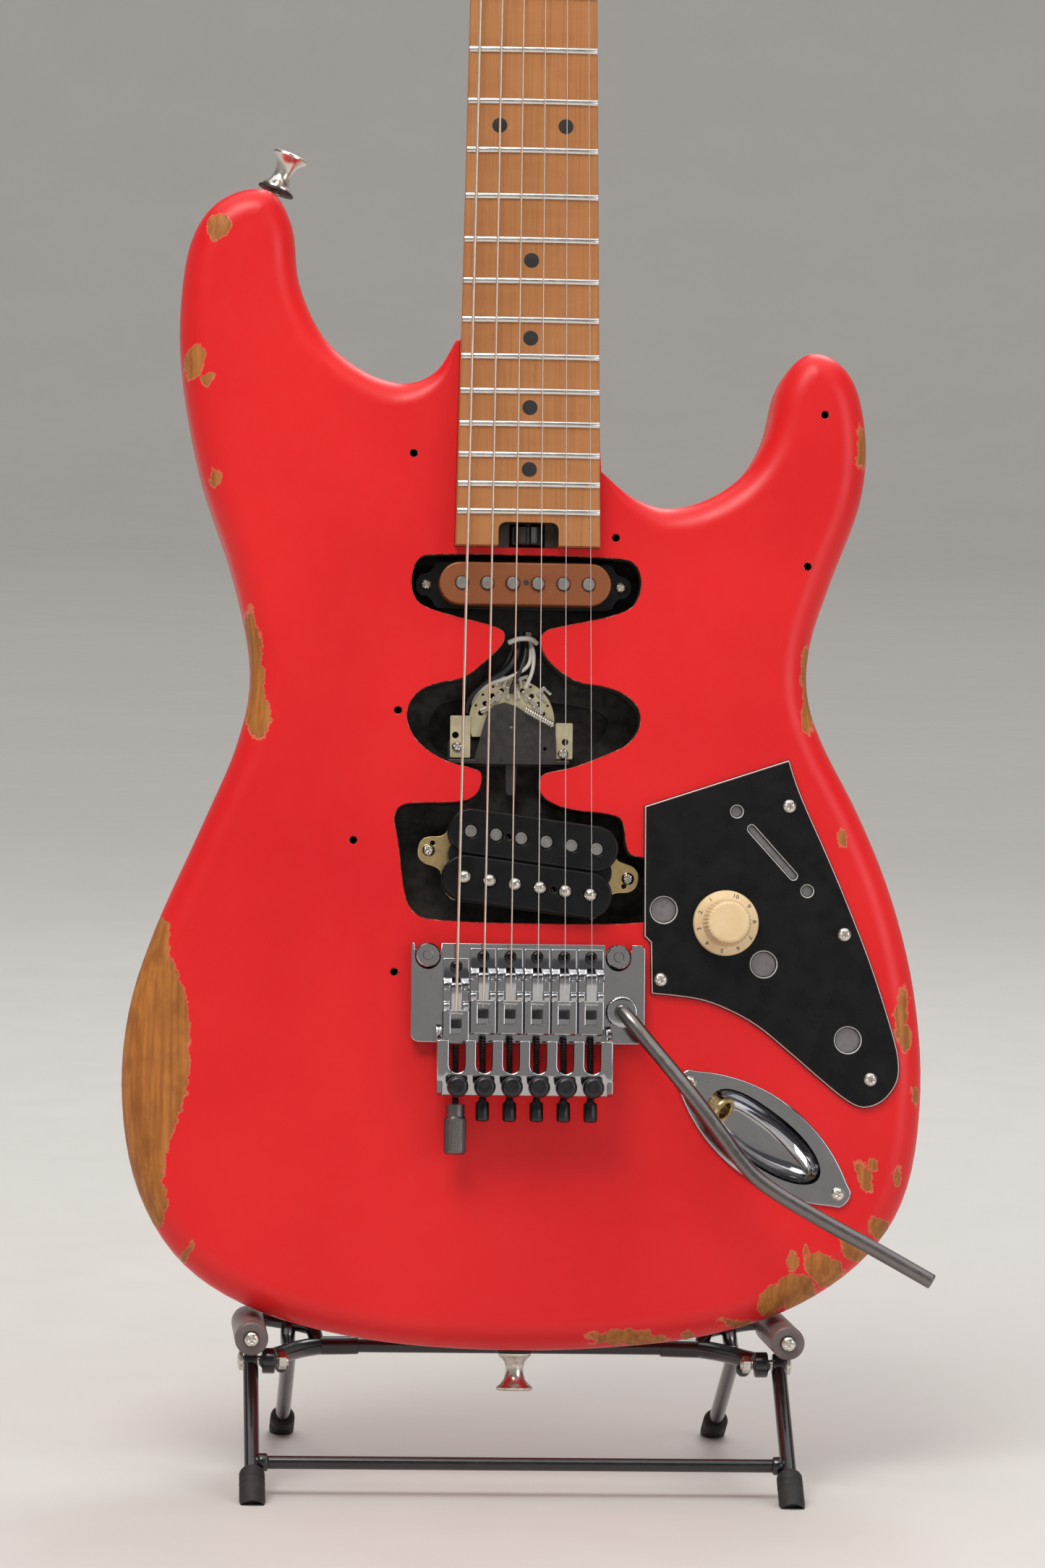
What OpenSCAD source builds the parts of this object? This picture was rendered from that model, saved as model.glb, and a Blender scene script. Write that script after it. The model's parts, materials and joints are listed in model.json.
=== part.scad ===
// Electric guitar with a double-locking tremolo, resting on a folding rod stand.
// Guitar axes before it is leaned: X across the body, Z up along the neck from the saddle
// line, and Y into the body from its front face (Y = 0).  All sizes are in millimetres.

/* [Guitar body] */
// Thickness of the wooden body
body_t = 44; // [40:1:48]
// Depth of the pickup cavities from the front
cavity_t = 20; // [16:1:24]
// Depth of the spring cavity from the back
spring_cavity_t = 16; // [14:1:18]

/* [Neck] */
// Scale length, from the nut to the saddles
scale_len = 647.7; // [640:0.1:655]
// Number of frets
fret_count = 22; // [20:1:22]
// Half of the neck's width at the nut
nut_half = 20.9; // [20:0.1:22]
// Half of the neck's width at the heel
heel_half = 28.3; // [27:0.1:29]
// Height of the fretboard over the body
board_h = 9.5; // [8:0.5:11]
// Crown height of a fret
fret_h = 1.1; // [0.8:0.1:1.4]
// Radius of the fretboard across the neck
board_r = 305; // [240:5:400]

/* [Bridge] */
// Spacing of the strings at the bridge
string_pitch = 10.5; // [10.2:0.1:10.8]
// Spacing of the strings at the nut
nut_pitch = 7.04; // [6.8:0.02:7.2]
// Height of the strings over the body at the bridge
string_h = 13.5; // [13:0.1:14]

/* [Stand] */
// Angle that the guitar leans back
lean = 7.5; // [5:0.5:10]
// Height of the body's lowest edge over the floor
body_floor = 50; // [48:0.5:55]
// Radius of the steel rod
rod_r = 3; // [2.5:0.1:3.5]
// Radius of the rubber sleeves
sleeve_r = 6.5; // [6:0.1:7]
// Half of the distance between the front legs
front_half = 103.5; // [100:0.5:108]
// Half of the distance between the rear legs
rear_half = 88; // [84:0.5:92]

/* [Hidden] */
$fn = 32;

// Gap between pieces that only rest on each other
gap = 0.05;
// Shift that centres the whole object over the origin
frame_x = -1.35;
frame_y = -29.6;
// Lowest point of the body outline, below the saddle line
body_low = 144.8;
// Place of the saddle line's middle on the front face, once leaned
guitar_y = -(body_t / 2 * cos(lean) - body_low * sin(lean));
guitar_z = body_floor + body_t / 2 * sin(lean) + body_low * cos(lean);

// Outline of the body from the neck's treble side round to its bass side
body_points = [[29, 199], [41, 190], [56, 186], [72, 190], [86, 200], [95, 215], [100, 235],
  [109, 247], [120, 247], [130, 236], [134.5, 213], [132, 188], [121, 158], [113, 133],
  [112, 113], [118, 94], [133, 65], [146, 33], [155, -3], [158, -42], [153, -80],
  [138, -106], [111, -126], [75, -138.5], [30, -144], [-15, -144.8], [-60, -141],
  [-100, -131], [-130, -113], [-148, -85], [-155, -50], [-153, -15], [-143, 18],
  [-126, 57], [-112, 91], [-107, 120], [-114, 156], [-128, 198], [-136, 243],
  [-135, 278], [-128, 298], [-115, 308], [-101, 308], [-93, 294], [-90, 272], [-80, 251],
  [-64, 238], [-48, 233.5], [-36, 238], [-28.5, 250]];
// Outline of the open cavities and of the channels that join them
cavity_points = [[-36, 166.6], [36, 166.6], [42, 164.5], [44.8, 158], [44.4, 151], [39, 143.5],
  [16, 138.4], [6, 136], [5.6, 130], [8, 125], [14.6, 119], [21, 115.6], [30, 114.7],
  [38.6, 112], [44, 106.7], [45, 100], [40, 93], [29, 89.2], [19, 84.5], [8, 82.4],
  [5.8, 79], [6, 71], [16, 65.8], [36, 64.5], [39.2, 61], [40, 50], [44, 47.5], [60, 47.5],
  [60, 23], [46, 22.5], [38, 21.5], [-37, 21.5], [-44, 26], [-46.6, 33], [-49, 54],
  [-51, 62], [-49, 66.5], [-44, 68], [-24, 68], [-17.8, 71.5], [-16, 80], [-18, 83.2],
  [-29, 86], [-39.6, 92], [-45, 98], [-46.4, 104], [-43, 111], [-35, 115], [-24, 116.5],
  [-14, 125], [-7.8, 131.5], [-8.6, 137], [-25, 140.6], [-41, 146], [-44.5, 151],
  [-44.8, 158], [-42, 164.5]];
// Deeper pocket for the selector switch
switch_pocket = [[-34, 88], [-18, 84], [8, 84], [24, 90], [34, 96], [34, 108], [-30, 112], [-38, 100]];
// Outline of the control plate and of the cavity below it
plate_points = [[47, 68], [104, 87], [109, 72.5], [122.5, 42.5], [136, 9.5], [145.6, -19.5],
  [148.2, -32], [147, -40], [141.5, -46.8], [134, -49.3], [127, -46.4], [117.5, -39],
  [104.5, -28], [92, -18], [80, -11.5], [68, -7.6], [50.3, -5.7], [49.8, 14.4], [47.3, 16.8]];
control_cavity = [[58, 24], [58, 60], [96, 72], [104, 52], [120, 14], [132, -24], [127, -36],
  [112, -24], [96, -10], [80, -2], [62, 4]];
// Neck end, pickups and selector switch
heel_end = 168.7;
neck_pickup_mid = [-0.7, 154];
neck_pickup_ear_x = 38.3;
pole_pitch = 9.92;
humbucker_mid = [2.4, 44.7];
humbucker_turn = 7.4;
humbucker_ear_x = 39.5;
switch_at = [-4.6, 97.5];
// Screw places on the front and back faces
switch_screw_at = [[-25, 91.5], [15.5, 89]];
plate_screw_at = [[104, 68.5], [126, 18.5], [54, 0], [136.6, -38]];
jack_screw_at = [[65.97, -40.18], [124.23, -82.82]];
neck_screw_at = [[-19, 178], [19, 178], [-19, 228], [19, 228]];
cover_screw_at = [[-33, -32], [33, -32], [-33, 45], [33, 45], [-33, 120], [33, 120]];
pickguard_holes = [[-44.7, 205], [117, 223], [110.7, 163], [35, 173], [-49.7, 104],
  [-66.6, 53], [-50, 1.8]];
// Knob, jack and control plate openings
knob_at = [79, 22.3];
pot_holes = [[55, 27.3], [94.4, 6.5], [127.7, -22.7]];
lever_holes = [[83.4, 66.2], [111.3, 35.4]];
lever_slot = [[89, 59.7], [106, 41]];
upper_button = [-100.5, 308];
upper_tilt = 22;
jack_mid = [95.1, -61.5];
jack_turn = -36.2;
jack_rise = 35;
// Tremolo
post_at = [37.15, 8.4];
plate_back = -2.2;
plate_front = -5;
pivot_v = 5.3;
tuner_bar_front = -22;
tuner_bar_back = -16;
fine_tuner_v = -42.8;
arm_at = [38.5, -13];
// Side view of one saddle
saddle_side = [[-5.05, 11], [-7.4, 11], [-7.8, 4.6], [-12.4, 1.4], [-12.8, 0], [-12.8, -3],
  [-11.4, -7.5], [-11, -22.5], [-5.05, -22.5]];
arm_points = [[38.5, -10.5, -13], [40.4, -14.3, -15.4], [46.5, -17.5, -23], [64, -25.5, -44.5],
  [79, -31, -65], [84, -32.5, -71.5], [91, -34, -78.5], [111, -37, -91], [156.5, -40, -116]];
// Headstock
head_front = -1.5;
head_back = 12.5;
head_points = [[20.9, 650], [22, 662], [30, 675], [39.5, 688], [44, 706], [44.5, 728], [42.5, 752],
  [41, 778], [42, 804], [42.5, 824], [37, 837], [24, 842], [11, 837], [5, 826], [-33, 686],
  [-33.5, 677], [-29.5, 668], [-23, 660], [-20.9, 650]];
tuner_turn = 15.2;
tuner_axis_y = 18.5;
nut_string_y = -board_h - 2.2;
// String radii from the thickest to the thinnest
string_r = [0.58, 0.46, 0.33, 0.22, 0.17, 0.13];
// Stand
sleeve_x = 104;
sleeve_tilt = 3;
sleeve_back = 30;
sleeve_len = 64;
// The body rests on the sleeves here
sleeve_v = -136.3;
sleeve_mid_y = guitar_y + 38 * cos(lean) + sleeve_v * sin(lean);
sleeve_mid_z = guitar_z - 38 * sin(lean) + sleeve_v * cos(lean) - 0.5;
pivot_at = [-5, 45.4];
front_foot = [-60, 4];
rear_foot = [90, 4];
yoke_at = [31, 45.5];
pad_at = [62.2, 262];
foot_r = 5;
bracket_x = 96.6;
bolt_r = 2;

function string_u(i) = (i - 2.5) * string_pitch;
function nut_u(i) = (i - 2.5) * nut_pitch;
function fret_v(n) = scale_len * pow(2, -n / 12);
function neck_half(v) = heel_half - (v - heel_end) * (heel_half - nut_half) / (scale_len - heel_end);
function board_y(u) = -board_h + board_r - sqrt(board_r * board_r - u * u);
function neck_pickup_ear(s) = neck_pickup_mid + [s * neck_pickup_ear_x, 0];
function neck_pole(i) = neck_pickup_mid + [(i - 2.5) * pole_pitch, 0];
function humbucker_ear(s) = humbucker_mid
  + s * humbucker_ear_x * [cos(humbucker_turn), -sin(humbucker_turn)];
function post_u(i) = nut_u(i);
function post_v(i) = 684 + 26 * i;

function bend(p, q, r, s, t) = 0.5 * (2 * q + (r - p) * t + (2 * p - 5 * q + 4 * r - s) * t * t
  + (3 * q - p - 3 * r + s) * t * t * t);
// Smooth open curve through the points
function smooth(pts, steps) = let (n = len(pts)) [for (i = [0:n - 2]) for (k = [0:steps - 1])
  bend(pts[max(i - 1, 0)], pts[i], pts[i + 1], pts[min(i + 2, n - 1)], k / steps), pts[n - 1]];
// Smooth closed curve through the points
function smooth_loop(pts, steps) = let (n = len(pts)) [for (i = [0:n - 1]) for (k = [0:steps - 1])
  bend(pts[(i + n - 1) % n], pts[i], pts[(i + 1) % n], pts[(i + 2) % n], k / steps)];

// Everything on the guitar is drawn upright and leaned here
module leaned() translate([frame_x, frame_y + guitar_y, guitar_z]) rotate([-lean, 0, 0]) children();
module standing() translate([frame_x, frame_y, 0]) children();
// A flat outline (X, Z) given thickness from one Y to another
module slab(front, back) translate([0, back, 0]) rotate([90, 0, 0]) linear_extrude(back - front) children();
// A round piece along Y
module disc(at, front, back, r) translate([at[0], back, at[1]]) rotate([90, 0, 0])
  cylinder(h = back - front, r = r);
module turned(at, front) translate([at[0], front, at[1]]) rotate([-90, 0, 0]) rotate_extrude() children();
module rod(a, b, r) {
  d = b - a;
  translate(a) rotate([0, acos(d[2] / norm(d)), atan2(d[1], d[0])]) cylinder(h = norm(d), r = r);
}
module rod_path(pts, r) {
  for (i = [0:len(pts) - 2]) rod(pts[i], pts[i + 1], r);
  for (i = [1:len(pts) - 2]) translate(pts[i]) sphere(r = r + 0.15);
}
module pill(length, r) {
  square([length - 2 * r, 2 * r], center = true);
  for (s = [-1, 1]) translate([s * (length / 2 - r), 0]) circle(r = r);
}
module rounded(w, h, r) {
  square([w - 2 * r, h], center = true);
  square([w, h - 2 * r], center = true);
  for (a = [-1, 1], b = [-1, 1]) translate([a * (w / 2 - r), b * (h / 2 - r)]) circle(r = r);
}
module jack_frame() translate([jack_mid[0], 0, jack_mid[1]]) rotate([0, -jack_turn, 0]) children();

// ---- guitar body ----
module guitar_body() color("red") leaned() difference() {
  slab(0, body_t) polygon(concat(smooth(body_points, 3), [[-26.8, 250], [26.8, 250]]));
  slab(-1, 16) polygon([[-heel_half - 0.2, 168.5], [heel_half + 0.2, 168.5],
    [neck_half(251) + 0.2, 251], [-neck_half(251) - 0.2, 251]]);
  slab(-1, cavity_t) polygon(smooth_loop(cavity_points, 2));
  slab(-1, cavity_t + 4) polygon(smooth_loop(switch_pocket, 2));
  slab(-1, 36) polygon(smooth_loop(control_cavity, 2));
  jack_frame() slab(-1, 28) pill(72, 14);
  rod([96, 24, -50], [100, 26, -12], 4);
  slab(-1, body_t + 1) translate([0, -9]) square([76, 32], center = true);
  slab(body_t - spring_cavity_t, body_t + 1) translate([0, 43]) rounded(72, 146, 6);
  for (s = [-1, 1]) disc([s * post_at[0], post_at[1]], -1, 24, 5.05);
  for (s = [-1, 1]) rod([s * 15, 37, 110], [s * 15, 37, 136], 2.1);
  for (p = concat(plate_screw_at, jack_screw_at, pickguard_holes)) disc(p, -1, 13, 1.3);
  for (p = neck_screw_at) disc(p, 10, body_t + 1, 2.3);
  for (p = cover_screw_at) disc(p, body_t - 12, body_t + 1, 1.3);
  for (s = [-1, 1]) disc(neck_pickup_ear(s), cavity_t - 1, 30, 1.3);
  for (s = [-1, 1]) disc(humbucker_ear(s), cavity_t - 1, 27, 1.3);
  for (p = switch_screw_at) disc(p, 10, 33, 1.3);
  rod([0, body_t / 2, -150], [0, body_t / 2, -118], 2.1);
  translate([upper_button[0], body_t / 2, upper_button[1]]) rotate([0, upper_tilt, 0])
    translate([0, 0, -26]) cylinder(h = 30, r = 2.1);
}

// ---- neck ----
// Cross-section of the neck's back, from side to side
function back_ring(half, depth, v) = [for (a = [0:12:180])
  [half * cos(a), -board_h + 5 + (depth - 5) * pow(sin(a), 0.75), v]];
function back_depth(v) = 21 + 1.5 * (scale_len - v) / (scale_len - heel_end);
function ring_top(half, v) = [[-half, -board_h + 4, v], [half, -board_h + 4, v]];
function neck_ring(v) = let (h = neck_half(v) - 0.15)
  concat(back_ring(h, back_depth(v), v), ring_top(h, v));
function board_ring(v) = let (h = neck_half(v)) concat(
  [for (k = [-4:4]) [k / 4 * h, board_y(k / 4 * h), v]], [[h, -board_h + 6, v], [-h, -board_h + 6, v]]);
// Solid between two or more rings with the same number of points
module loft(rings) {
  n = len(rings[0]);
  m = len(rings);
  polyhedron(points = [for (r = rings) each r],
    faces = concat([[for (k = [0:n - 1]) k]],
      [for (j = [0:m - 2], k = [0:n - 1]) let (a = j * n + k, b = j * n + (k + 1) % n)
        each [[a, b + n, b], [a, a + n, b + n]]],
      [[for (k = [n - 1:-1:0]) (m - 1) * n + k]]), convexity = 4);
}
module neck() color("peru") leaned() difference() {
  union() {
    loft([board_ring(heel_end), board_ring(scale_len)]);
    loft([neck_ring(246), neck_ring(656)]);
    slab(-board_h + 3, 16 - gap) polygon([[-heel_half + 0.3, heel_end + 0.1],
      [heel_half - 0.3, heel_end + 0.1], [neck_half(250) - 0.3, 250], [-neck_half(250) + 0.3, 250]]);
    slab(-5, head_back - 0.3) translate([-nut_half - 0.2, scale_len - 1]) square([2 * nut_half + 0.4, 18]);
    slab(head_front, head_back) polygon(smooth(head_points, 2));
  }
  slab(-20, 0) translate([-11.8, heel_end - 1]) square([23.6, 10]);
  slab(-20, -5.02) translate([-30, scale_len + 0.1]) square([60, 12]);
  rod([0, 2, 160], [0, 2, 560], 2.7);
  rod([0, 2, 160], [0, 2, 177.8], 7.3);
  for (i = [0:5]) disc([post_u(i), post_v(i)], -6, 20, 4.6);
  for (p = neck_screw_at) disc(p, 4, 20, 2.3);
  for (p = marker_at) disc(p, -20, -board_h + 2, 3.17);
  for (s = [-1, 1]) disc([s * 25, 674], -6, 7, 1.6);
  for (s = [-1, 1]) disc([s * 11, 656], -6, 4, 1.6);
}
module truss_rod() color("dimgray") leaned() {
  difference() {
    rod([0, 2, 169.5], [0, 2, 177], 7);
    for (a = [0:45:135]) translate([0, 2, 173]) rotate([0, 0, a]) rotate([90, 0, 0])
      cylinder(h = 20, r = 1.2, center = true);
  }
  rod([0, 2, 176], [0, 2, 555], 2.5);
}
module frets() color("silver") leaned() for (n = [1:fret_count]) let (v = fret_v(n), h = neck_half(v) - 0.3)
  translate([0, 0, v - 1.2]) linear_extrude(2.4) polygon(concat(
    [for (k = [-4:4]) [k / 4 * h, board_y(k / 4 * h) - gap]],
    [for (k = [4:-1:-4]) [k / 4 * h * 0.985, board_y(k / 4 * h) - fret_h]]));
// Dots lie halfway between two frets; the twelfth has a pair
function marker_v(n) = (fret_v(n) + fret_v(n - 1)) / 2;
marker_at = concat([for (n = [3, 5, 7, 9, 15, 17, 19, 21]) [0, marker_v(n)]],
  [for (s = [-1, 1]) [s * 13, marker_v(12)]]);
module fret_markers() color("black") leaned() for (p = marker_at)
  disc(p, board_y(abs(p[0])) + (abs(p[0]) > 1 ? 0.06 : 0), -board_h + 1.9, 3.13);

// ---- nut, headstock and tuners ----
module locking_nut() color("silver") leaned() {
  difference() {
    slab(nut_string_y + 0.7, -5 - gap) translate([-nut_half, scale_len + 0.2]) square([2 * nut_half, 15.5]);
    for (s = [-1, 1]) disc([s * 11, 656], -20, -4, 1.6);
  }
  for (k = [-1:1]) difference() {
    slab(nut_string_y - 3.6, nut_string_y - 0.7) translate([k * 2 * nut_pitch, 655.5])
      rounded(13, 12.5, 1.5);
    disc([k * 2 * nut_pitch, 656], nut_string_y - 9, nut_string_y, 1.6);
  }
  for (k = [-1:1]) difference() {
    disc([k * 2 * nut_pitch, 656], nut_string_y - 7, nut_string_y - 3.65, 3.2);
    slab(nut_string_y - 8, nut_string_y - 5) translate([k * 2 * nut_pitch, 656]) circle(r = 1.6, $fn = 6);
  }
}
module string_retainer() color("silver") leaned() {
  difference() {
    slab(-11.2, -8.6) translate([0, 674]) rounded(58, 6.4, 2);
    for (s = [-1, 1]) disc([s * 25, 674], -20, 0, 1.6);
  }
  for (s = [-1, 1]) {
    disc([s * 25, 674], -13.4, -11.25, 2.8);
    disc([s * 25, 674], -11.3, 6, 1.5);
    difference() {
      disc([s * 25, 674], -8.55, head_front - gap, 2.6);
      disc([s * 25, 674], -9, 0, 1.6);
    }
  }
}
module tuner_posts() color("silver") leaned() for (i = [0:5]) {
  p = [post_u(i), post_v(i)];
  difference() {
    union() {
      disc(p, head_front - 2, head_front - gap, 5.6);
      disc(p, head_front - 1, head_back - 0.1, 4.5);
    }
    disc(p, -6, 14, 3.1);
  }
  difference() {
    turned(p, -14) polygon([[0, 0], [2.6, 0], [3, 0.5], [3, 3], [2.2, 4.6], [2.2, 8.4], [3, 10],
      [3, 26], [0, 26]]);
    rod([p[0], -8.6, p[1] - 6], [p[0], -8.6, p[1] + 6], 0.8);
  }
}
// One tuning machine's own axes: X points out of the headstock's edge
module tuner_frame(i) translate([post_u(i), tuner_axis_y, post_v(i)]) rotate([0, tuner_turn, 0])
  mirror([1, 0, 0]) children();
module tuner_housings() color("silver") leaned() for (i = [0:5]) tuner_frame(i) difference() {
  union() {
    translate([-8, -5.95, -7]) cube([17, 12.5, 14]);
    translate([8.5, 0, 0]) rotate([0, 90, 0]) cylinder(h = 4, r = 3.4);
  }
  translate([-6.5, -7, -5.5]) cube([13.5, 12, 11]);
  translate([6, 0, 0]) rotate([0, 90, 0]) cylinder(h = 8, r = 2.05);
}
module tuner_key(i) color("silver") leaned() tuner_frame(i) {
  translate([5.2, 0, 0]) rotate([0, 90, 0]) cylinder(h = 15.5, r = 2);
  translate([19, 0, 0]) rotate([0, 90, 0]) cylinder(h = 3, r1 = 3, r2 = 4);
  translate([28.5, 0, 0]) rotate([90, 0, 0]) intersection() {
    linear_extrude(5.4, center = true) rounded(14, 19, 5);
    rotate([0, 90, 0]) cylinder(h = 30, r = 9.6, center = true);
  }
}

// ---- plates and screws ----
module neck_plate() color("silver") leaned() difference() {
  slab(body_t + gap, body_t + 2) translate([0, 203]) rounded(51, 64, 6);
  for (p = neck_screw_at) disc(p, body_t - 1, body_t + 3, 2.3);
}
// Domed cross-head screw, head at the front
module front_screw(at, face, length, head) {
  turned(at, face - 1.6) polygon([[0, 0], [head * 0.5, 0.15], [head * 0.85, 0.8], [head, 1.55],
    [1.2, 1.55], [1.2, length], [0, length + 1.4]]);
}
module back_screw(at, face, length, head, shank) translate([0, 2 * face, 0]) mirror([0, 1, 0])
  turned(at, face - 1.9) polygon([[0, 0], [head * 0.6, 0.2], [head, 1.2], [head, 1.85],
    [shank, 1.85], [shank, length], [0, length + 1.5]]);
module wood_screws() color("silver") leaned() {
  for (p = plate_screw_at) front_screw(p, -2.4, 12, 2.7);
  for (p = jack_screw_at) front_screw(p, -1.6, 12, 2.6);
  for (s = [-1, 1]) front_screw(neck_pickup_ear(s), 6.8, 20, 2.3);
  for (s = [-1, 1]) front_screw(humbucker_ear(s), 7.8, 17, 2.5);
  for (p = switch_screw_at) front_screw(p, 13.9, 17, 2.6);
  for (p = neck_screw_at) back_screw(p, body_t + 2.05, 36, 4.4, 2.2);
  for (p = cover_screw_at) back_screw(p, body_t + 1.65, 12, 2.6, 1.2);
}
module control_plate() color("black") leaned() difference() {
  slab(-2.3, -gap) polygon(plate_points);
  for (p = pot_holes) disc(p, -3, 1, 4.75);
  for (p = lever_holes) disc(p, -3, 1, 2);
  rod([lever_slot[0][0], 0, lever_slot[0][1]], [lever_slot[0][0], -3, lever_slot[0][1]], 1.25);
  slab(-3, 1) polygon([lever_slot[0] + [0.9, 0.85], lever_slot[1] + [0.9, 0.85],
    lever_slot[1] - [0.9, 0.85], lever_slot[0] - [0.9, 0.85]]);
  for (p = plate_screw_at) disc(p, -3, 1, 1.3);
  disc(knob_at, -3, 1, 4.8);
}
module back_cover() color("dimgray") leaned() difference() {
  slab(body_t + gap, body_t + 1.6) translate([0, 44]) rounded(80, 162, 8);
  for (p = cover_screw_at) disc(p, body_t - 1, body_t + 3, 1.3);
  slab(body_t - 1, body_t + 3) translate([0, -6]) rounded(60, 14, 3);
}

// ---- pickups ----
module neck_pickup_base() color("black") leaned() difference() {
  slab(7.05, 9.4) translate(neck_pickup_mid) {
    pill(84, 4.6);
    pill(70, 9.4);
  }
  for (s = [-1, 1]) disc(neck_pickup_ear(s), 0, 20, 1.3);
  for (i = [0:5]) disc(neck_pole(i), 0, 20, 2.5);
}
module neck_pickup_bobbin() color("darkorange") leaned() difference() {
  slab(-4.5, 7) translate(neck_pickup_mid) pill(67.3, 8.3);
  for (i = [0:5]) disc(neck_pole(i), -9, 9, 2.5);
}
module neck_pickup_poles() color("gray") leaned() for (i = [0:5])
  disc(neck_pole(i), -6, 11, 2.45);
module humbucker_frame() translate([humbucker_mid[0], 0, humbucker_mid[1]])
  rotate([0, humbucker_turn, 0]) children();
module humbucker_baseplate() color("darkgoldenrod") leaned() humbucker_frame() difference() {
  slab(8.05, 9.5) {
    rounded(68, 36, 4);
    pill(2 * humbucker_ear_x + 8, 4.4);
  }
  for (s = [-1, 1]) disc([s * humbucker_ear_x, 0], 0, 20, 1.35);
  for (i = [0:5]) disc([(i - 2.5) * pole_pitch, -9], 0, 20, 2.1);
}
module humbucker_bobbins() color("black") leaned() humbucker_frame() for (s = [-1, 1]) difference() {
  slab(-5.5, 8) translate([0, s * 9.15]) pill(66.8, 8.9);
  for (i = [0:5]) disc([(i - 2.5) * pole_pitch, s * 9], -9, 9, 2.45);
}
module humbucker_poles() color("silver") leaned() humbucker_frame() for (i = [0:5]) {
  disc([(i - 2.5) * pole_pitch, 9], -5.9, 7.9, 2.4);
  difference() {
    union() {
      disc([(i - 2.5) * pole_pitch, -9], -7.2, -5.6, 2.4);
      disc([(i - 2.5) * pole_pitch, -9], -6, 15, 1.9);
    }
    slab(-8, -6.4) translate([(i - 2.5) * pole_pitch, -9]) rotate(20) square([6, 0.7], center = true);
  }
}

// ---- selector switch ----
module switch_frame() color("dimgray") leaned() difference() {
  union() {
    slab(14, 15.4) translate([-4.9, 90]) rounded(44, 8, 2);
    slab(10, 15.4) translate([-4.7, 92]) square([30, 2], center = true);
    slab(14, 15.4) translate([-4.6, 97]) rounded(26, 20, 3);
    disc(switch_at, 8.4, 14.4, 2.4);
  }
  slab(11.4, 13.8) translate([switch_at[0] - 6, 90]) square([12, 4]);
  for (p = switch_screw_at) disc(p, 5, 20, 1.35);
}
module switch_wafer() color("wheat") leaned() difference() {
  slab(9.6, 11.2) intersection() {
    translate(switch_at) circle(r = 16.8);
    translate([-25, 93.2]) square([40, 30]);
  }
  disc(switch_at, 5, 15, 3);
}
module switch_lever() color("dimgray") leaned() difference() {
  union() {
    slab(11.8, 13.4) translate(switch_at) rotate(-91) translate([9, 0]) rounded(28, 5, 2);
    slab(11.8, 13.4) translate(switch_at) circle(r = 5);
  }
  disc(switch_at, 5, 20, 2.45);
}
module switch_spring() color("silver") leaned() rod([2.5, 7.4, 99], [12.5, 7.4, 93.5], 1.9);
module wiring() color("black") leaned() {
  rod_path([[-1.5, 13, 135], [-2.5, 10.5, 128], [-7, 9, 121], [-15, 10, 116], [-21, 12, 110]], 1.3);
  rod_path([[1.8, 13, 135], [1.2, 9.5, 127], [-3, 7.4, 119.6], [-8, 7, 115.6]], 1.2);
}

// ---- tone control and jack ----
module potentiometer() color("silver") leaned() {
  difference() {
    union() {
      disc(knob_at, 5, 16, 12);
      disc(knob_at, -6, 6, 4.7);
    }
    disc(knob_at, -7, 12, 3.05);
  }
  difference() {
    slab(-4.6, -2.35) translate(knob_at) circle(r = 7, $fn = 6);
    disc(knob_at, -7, 12, 4.75);
  }
}
module pot_shaft() color("silver") leaned() disc(knob_at, -15, 11.5, 3);
module tone_knob() color("moccasin") leaned() difference() {
  turned(knob_at, -18.6) polygon([[0, 0], [7.6, 0], [8.3, 0.7], [9.3, 8.8], [12.6, 11.6],
    [12.8, 14.8], [0, 14.8]]);
  disc(knob_at, -15.2, 0, 3.05);
  disc(knob_at, -6.6, 0, 8.6);
}
// Curved plate with a scooped cup, in the cup's own axes
module jack_plate() color("silver") leaned() jack_frame() difference() {
  union() {
    slab(-1.5, -gap) intersection() {
      translate([0, -50.5]) circle(r = 67, $fn = 96);
      translate([0, 50.5]) circle(r = 67, $fn = 96);
    }
    hull() {
      slab(-1.4, -1.3) pill(54, 11);
      slab(16, 16.1) translate([-8, 0]) pill(32, 9);
    }
  }
  hull() {
    slab(-1.8, -1.6) pill(51, 9.6);
    slab(14.8, 14.9) translate([-8, 0]) pill(29.4, 7.6);
  }
  for (p = [-36.1, 36.1]) disc([p, 0], -3, 2, 1.3);
  jack_axis() translate([0, 0, -10]) cylinder(h = 10, r = 4.3);
}
module jack_axis() translate([-19.5, 6.5, 0]) rotate([0, 90, -jack_rise]) children();
module jack_socket() color("darkgoldenrod") leaned() jack_frame() jack_axis() difference() {
  union() {
    translate([0, 0, -16]) cylinder(h = 17.5, r = 4.2);
    translate([0, 0, 0.3]) cylinder(h = 1.4, r = 5.6);
  }
  translate([0, 0, -18]) cylinder(h = 22, r = 3.25);
}

// ---- strap buttons ----
module strap_button() difference() {
  union() {
    rotate_extrude() polygon([[0, 1], [6.6, 1], [6.6, 2.2], [3.9, 4.2], [3.6, 9], [4.4, 12], [7, 14.2],
      [7.2, 15.2], [6.8, 15.8], [0, 15.8]]);
    rotate_extrude() polygon([[0, gap], [7.4, gap], [7.4, 0.9], [0, 0.9]]);
    translate([0, 0, -22]) cylinder(h = 24, r = 2);
  }
  translate([0, 0, 15]) cube([5, 0.9, 3], center = true);
}
module strap_buttons() color("silver") leaned() {
  translate([0, body_t / 2, -body_low - 0.4]) rotate([180, 0, 0]) strap_button();
  translate([upper_button[0], body_t / 2, upper_button[1]]) rotate([0, upper_tilt, 0])
    translate([0, 0, 2.2]) strap_button();
}

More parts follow.
